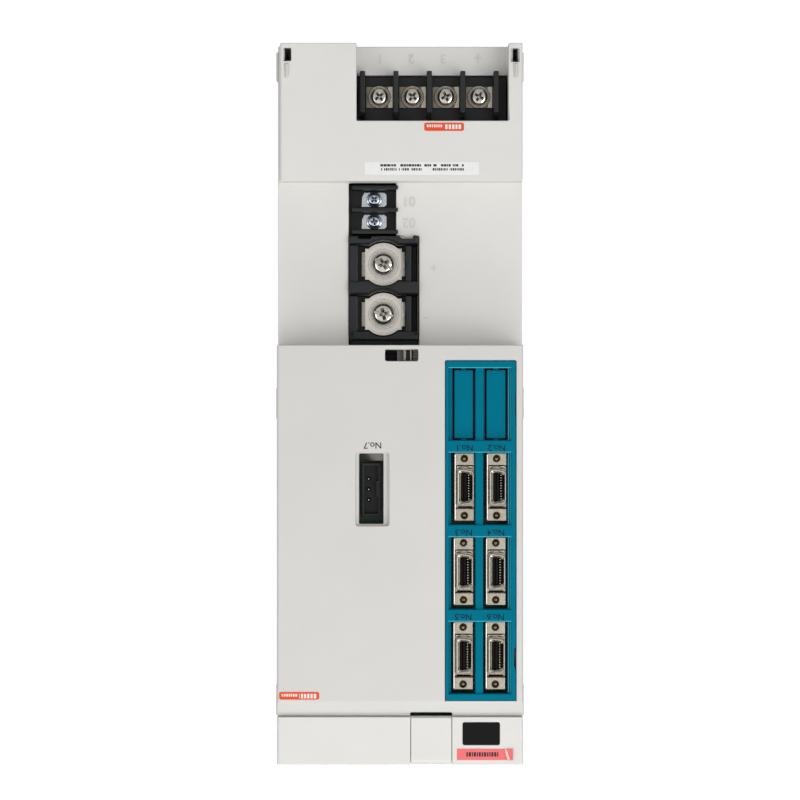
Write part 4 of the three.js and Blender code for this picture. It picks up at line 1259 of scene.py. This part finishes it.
def capacitor(node):
    """Snap-in electrolytic capacitor: crimped aluminium can in a sleeve, its top scored as a vent."""
    low, high = corners(node)
    centre = middle(node)
    radius = (high.x - low.x) / 2
    front, rear = low.y, high.y
    profile = [(0, rear), (radius - 0.9, rear), (radius, rear - 1), (radius, rear - 5)]
    profile += [(radius - 1, rear - 6.2), (radius - 1, rear - 7), (radius, rear - 8.2)]
    profile += [(radius, front + 1.6), (radius - 0.5, front + 0.5), (radius - 1.6, front)]
    profile += [(radius - 3, front + 0.3), (0, front + 0.3)]
    origin = (centre[0], front, centre[1])
    stand_in(node, Solid().turn(profile, centre, steps=56), "capacitor_sleeve", origin=origin)
    disc = radius - 3.2
    top = Solid().rod(disc, front + 0.1, front + 0.8, centre, steps=48)
    for angle in (0, 120, 240):
        groove = Solid().box((-0.35, front - 0.5, 1), (0.35, front + 0.4, disc - 2))
        top.cut(groove.move(swing(centre, angle)))
    finish(node + "_top", top, "aluminium_can", "aluminium", origin=origin)


def segment_face():
    """Five unlit seven-segment figures on the display's face."""
    low, high = corners("segment_display")
    _, z = middle("segment_display")
    front, rear = low.y - 0.08, low.y + 0.1
    figures = Solid()
    width, height, bar = 1.9, 3.6, 0.45
    for i in range(5):
        x = low.x + (i + 0.5) * (high.x - low.x) / 5
        for row in (-1, 0, 1):
            figures.box(
                (x - width / 2 + bar, front, z + row * height - bar / 2),
                (x + width / 2 - bar, rear, z + row * height + bar / 2),
            )
        for side in (-1, 1):
            for row in (-0.5, 0.5):
                figures.box(
                    (x + side * width / 2 - bar / 2, front, z + row * height - height / 2 + bar),
                    (x + side * width / 2 + bar / 2, rear, z + row * height + height / 2 - bar),
                )
    finish("segment_display_figures", figures, "segment_dark")


def axis_switch():
    """Rotary switch: square body numbered round its dial, and a slotted dial with a pointer."""
    low, _ = corners("axis_switch_body")
    x, z = centre = middle("axis_switch_body")
    refine("axis_switch_body", 0.25)
    numbers = Solid()
    for figure in range(10):
        angle = math.radians(90 - 36 * figure)
        place = (x + 4.25 * math.cos(angle), z + 4.25 * math.sin(angle))
        lettering(numbers, str(figure), 0.95, place, low.y, 0.06)
    finish("axis_switch_numbers", numbers, "print_white")
    near, far = corners("axis_switch_dial")
    radius, front, rear = (far.x - near.x) / 2, near.y, far.y
    profile = [(0, front), (radius - 0.35, front), (radius, front + 0.3), (radius, rear), (0, rear)]
    dial = Solid().turn(profile, centre, steps=64)
    arrow = [(-0.5, -2.5), (0.5, -2.5), (0.5, 1.2), (1.25, 1.2), (0, 2.75), (-1.25, 1.2), (-0.5, 1.2)]
    dial.cut(Solid().prism(shifted(arrow, x, z), front + 0.75, front - 1))
    stand_in("axis_switch_dial", dial, "dial_white", slot="display_grey", origin=(x, front, z))


for number in range(1, 5):
    capacitor(f"dc_capacitor_{number}")
segment_face()
axis_switch()


# ---- Printing, labels and moulded marks ----

PAPER = 0.14
INK = 0.05


def dashes(solid, left, right, bottom, height, depth, chooser, widths, gap, skip=0.12):
    """Adds a row of plain bars that stands for a line of small print."""
    x = left
    while x < right:
        width = min(chooser.uniform(*widths), right - x)
        if chooser.random() > skip:
            solid.box((x, depth - INK, bottom), (x + width, depth + 0.02, bottom + height))
        x += width + gap


def label(name, outline, face, look):
    """A flat label stuck on a face."""
    finish(name, Solid().prism(outline, face, face - PAPER), look, sharp=30)


def labels():
    """The rating label, the two class labels and the type label with its lifted end."""
    chooser = random.Random(7)
    label("rating_label", rectangle(-38.4, 17.1, 63.1, 69.2, 0.3), FOOT_FACE, "label_white")
    dark = Solid()
    ink = FOOT_FACE - PAPER
    dashes(dark, -31.0, 9.6, 64.1, 1.1, ink, chooser, (0.5, 1.7), 0.22)
    dashes(dark, -31.0, -15.6, 66.0, 1.2, ink, chooser, (0.3, 0.9), 0.3)
    dashes(dark, -10.5, 9.2, 66.0, 1.2, ink, chooser, (0.3, 0.9), 0.3)

    for name, left, bottom, height, face in (
        ("class_label_lower", -31.1, 43.9, 4.0, FOOT_FACE),
        ("class_label_upper", 39.0, 319.7, 3.7, FACE),
    ):
        right = left + 19.3
        label(name, rectangle(left, right, bottom, bottom + height, 0.9), face, "label_orange")
        white = Solid()
        ink = face - PAPER
        dashes(white, left + 1.4, left + 9.6, bottom + 0.9, 2.2, ink, chooser, (0.9, 1.3), 0.55, 0)
        dashes(white, left + 10.6, right - 1.2, bottom + 0.9, 1.3, ink, chooser, (0.5, 0.9), 0.4, 0)
        finish(name + "_print", white, "label_white")

    left, right, bottom, top = -54.5, -27.5, 347.3, 352.8
    curl, lift, steps = 4.6, 1.1, 10
    ink = TOP_FACE - PAPER
    strip = [(right, ink)]
    for i in range(steps + 1):
        share = i / steps
        strip.append((left + curl * (1 - share), ink - lift * share**2))
    strip += [(x, y + PAPER) for x, y in reversed(strip)]
    finish("type_label", Solid().upright(strip, bottom, top), "label_pink", sharp=30)
    crease = [(left + 3.0, bottom + 0.3), (left + 3.9, bottom + 0.3)]
    crease += [(left + 2.6, top - 0.2), (left + 1.4, top - 0.4)]
    finish("type_label_crease", Solid().prism(crease, TOP_FACE - 0.6, ink - 0.75), "label_back", sharp=30)
    dashes(dark, left + 7, right - 3.2, bottom + 1.7, 2.1, ink, chooser, (0.5, 1.1), 0.4, 0.05)
    finish("label_print", dark, "print_dark")


def printed_numbers():
    """The numbers printed below the signal ports and the brake connector."""
    teal = Solid()
    for number in range(1, 7):
        x, z = middle(f"signal_port_{number}_shell")
        lettering(teal, f"No.{number}", 3.0, (x, z - 19.1), FACE - 0.2, INK, 0.05)
    finish("port_numbers", teal, "print_teal")
    grey = Solid()
    low, _ = corners("brake_port_housing")
    lettering(grey, "No.7", 3.1, (13.2, low.z - 8.8), FACE, INK, 0.05)
    finish("brake_port_number", grey, "print_dark")


def moulded_marks():
    """Raised terminal numbers and signs, and the ramps beside the hook holes, in the case's plastic made a
    little darker as painted shade.
    """
    marks = Solid()
    relief = 0.4
    for number, x in enumerate((9.8, -5.5, -21.2), 1):
        lettering(marks, str(number), 4.6, (x, 10.8), LEDGE_FACE, relief, 0.05)
    earth = -38.4
    front, rear = LEDGE_FACE - relief, LEDGE_FACE + 0.1
    marks.box((earth - 0.25, front, 10.8), (earth + 0.25, rear, 13.2))
    for i, half in enumerate((1.9, 1.25, 0.6)):
        z = 10.6 - 0.9 * i
        marks.box((earth - half, front, z - 0.22), (earth + half, rear, z + 0.22))
    for text, height, place in (
        ("01", 4.8, (-4.4, 81.2)),
        ("02", 4.8, (-4.4, 91.6)),
        ("+", 4.4, (-16.6, 113.6)),
    ):
        lettering(marks, text, height, place, CASE_FACE, relief, 0.08)
    marks.box((-14.4, CASE_FACE - relief, 138.1), (-11.6, CASE_FACE + 0.1, 138.7))
    foot = [(1.5, 14.9), (1.1, 21.6), (0.3, 22.3), (-0.5, 22.1), (-1.4, 21.0), (-1.2, 14.9)]
    crest = [(0.1, 15.4), (0.2, 20.6), (0.1, 21.4), (-0.1, 21.4), (-0.7, 20.4), (-0.6, 15.4)]
    for x in (55.2, -56.3):
        marks.loft([[(x + a, FOOT_FACE + y, b) for a, b in edge] for edge, y in ((foot, 0.1), (crest, -1.5))])
    finish("moulded_marks", marks, "grey_relief", sharp=30)


labels()
printed_numbers()
moulded_marks()


# ---- Stage, lights and camera ----


def seen_white(tree, plain, white, output):
    """Shows the camera pure white, while the light that all else sees comes from the plain shader."""
    white.inputs["Color"].default_value = (1, 1, 1, 1)
    white.inputs["Strength"].default_value = 1.05
    path = tree.nodes.new("ShaderNodeLightPath")
    mix = tree.nodes.new("ShaderNodeMixShader")
    tree.links.new(path.outputs["Is Camera Ray"], mix.inputs["Fac"])
    tree.links.new(plain, mix.inputs[1])
    tree.links.new(white.outputs[0], mix.inputs[2])
    tree.links.new(mix.outputs["Shader"], output.inputs["Surface"])


def stage():
    """A pale floor just under the drive."""
    low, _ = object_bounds()
    half, gap = 6, 0.0005
    made = bmesh.new()
    made.faces.new([made.verts.new((x, y, low.z - gap)) for x, y in rectangle(-half, half, -half, half)])
    mesh = bpy.data.meshes.new("floor")
    made.to_mesh(mesh)
    made.free()
    n = Nodes("pale_floor")
    n.set(Base_Color=(0.6, 0.6, 0.6, 1), Roughness=0.9)
    seen_white(n.tree, n.shader.outputs["BSDF"], n.add("Emission"), n.tree.nodes["Material Output"])
    mesh.materials.append(n.material)
    placed("floor", mesh)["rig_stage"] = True


def world():
    """A plain studio, white where the camera looks at it. It lights the drive more from the front."""
    made = bpy.data.worlds.new("studio")
    bpy.context.scene.world = made
    made.use_nodes = True
    tree = made.node_tree
    room = tree.nodes["Background"]
    room.inputs["Color"].default_value = (1, 1, 1, 1)
    place = tree.nodes.new("ShaderNodeTexCoord")
    split = tree.nodes.new("ShaderNodeSeparateXYZ")
    tree.links.new(place.outputs["Generated"], split.inputs["Vector"])
    spread = tree.nodes.new("ShaderNodeMapRange")
    tree.links.new(split.outputs["Y"], spread.inputs["Value"])
    for name, value in (("From Min", -0.6), ("From Max", 0.3), ("To Min", 0.81), ("To Max", 0.34)):
        spread.inputs[name].default_value = value
    tree.links.new(spread.outputs["Result"], room.inputs["Strength"])
    white = tree.nodes.new("ShaderNodeBackground")
    seen_white(tree, room.outputs["Background"], white, tree.nodes["World Output"])


def camera():
    """A long lens straight in front of the drive, rolled by half a turn."""
    distance, front, height = 1.5, -0.18, 0.1788
    view_width = 0.38608
    data = bpy.data.cameras.new("camera")
    data.sensor_width = 36
    data.lens = data.sensor_width * distance / view_width
    made = placed("camera", data)
    right, up, back = Vector((-1, 0, 0)), Vector((0, 0, -1)), Vector((0, -1, 0))
    turn = Matrix((right, up, back)).transposed().to_4x4()
    made.matrix_world = Matrix.Translation((0, front - distance, height)) @ turn
    bpy.context.scene.camera = made


def light(name, place, size, watts):
    """A soft box that faces the drive."""
    target = Vector((0, -0.1, 0.18))
    data = bpy.data.lights.new(name, "AREA")
    data.shape = "RECTANGLE"
    data.size, data.size_y = size
    data.energy = watts
    made = placed(name, data)
    made.location = place
    made.rotation_mode = "QUATERNION"
    made.rotation_quaternion = (target - Vector(place)).to_track_quat("-Z", "Y")


stage()
world()
camera()
light("key", (-0.8, -1.5, 0.5), (0.9, 0.9), 7.2)
light("fill", (0.9, -1.3, 0.45), (0.6, 0.8), 1.7)
light("above", (0.0, -0.7, 1.1), (0.8, 0.3), 2.2)
light("rear", (0.6, 1.4, 1.0), (1.0, 1.0), 9)
bpy.context.scene.view_settings.view_transform = "Standard"
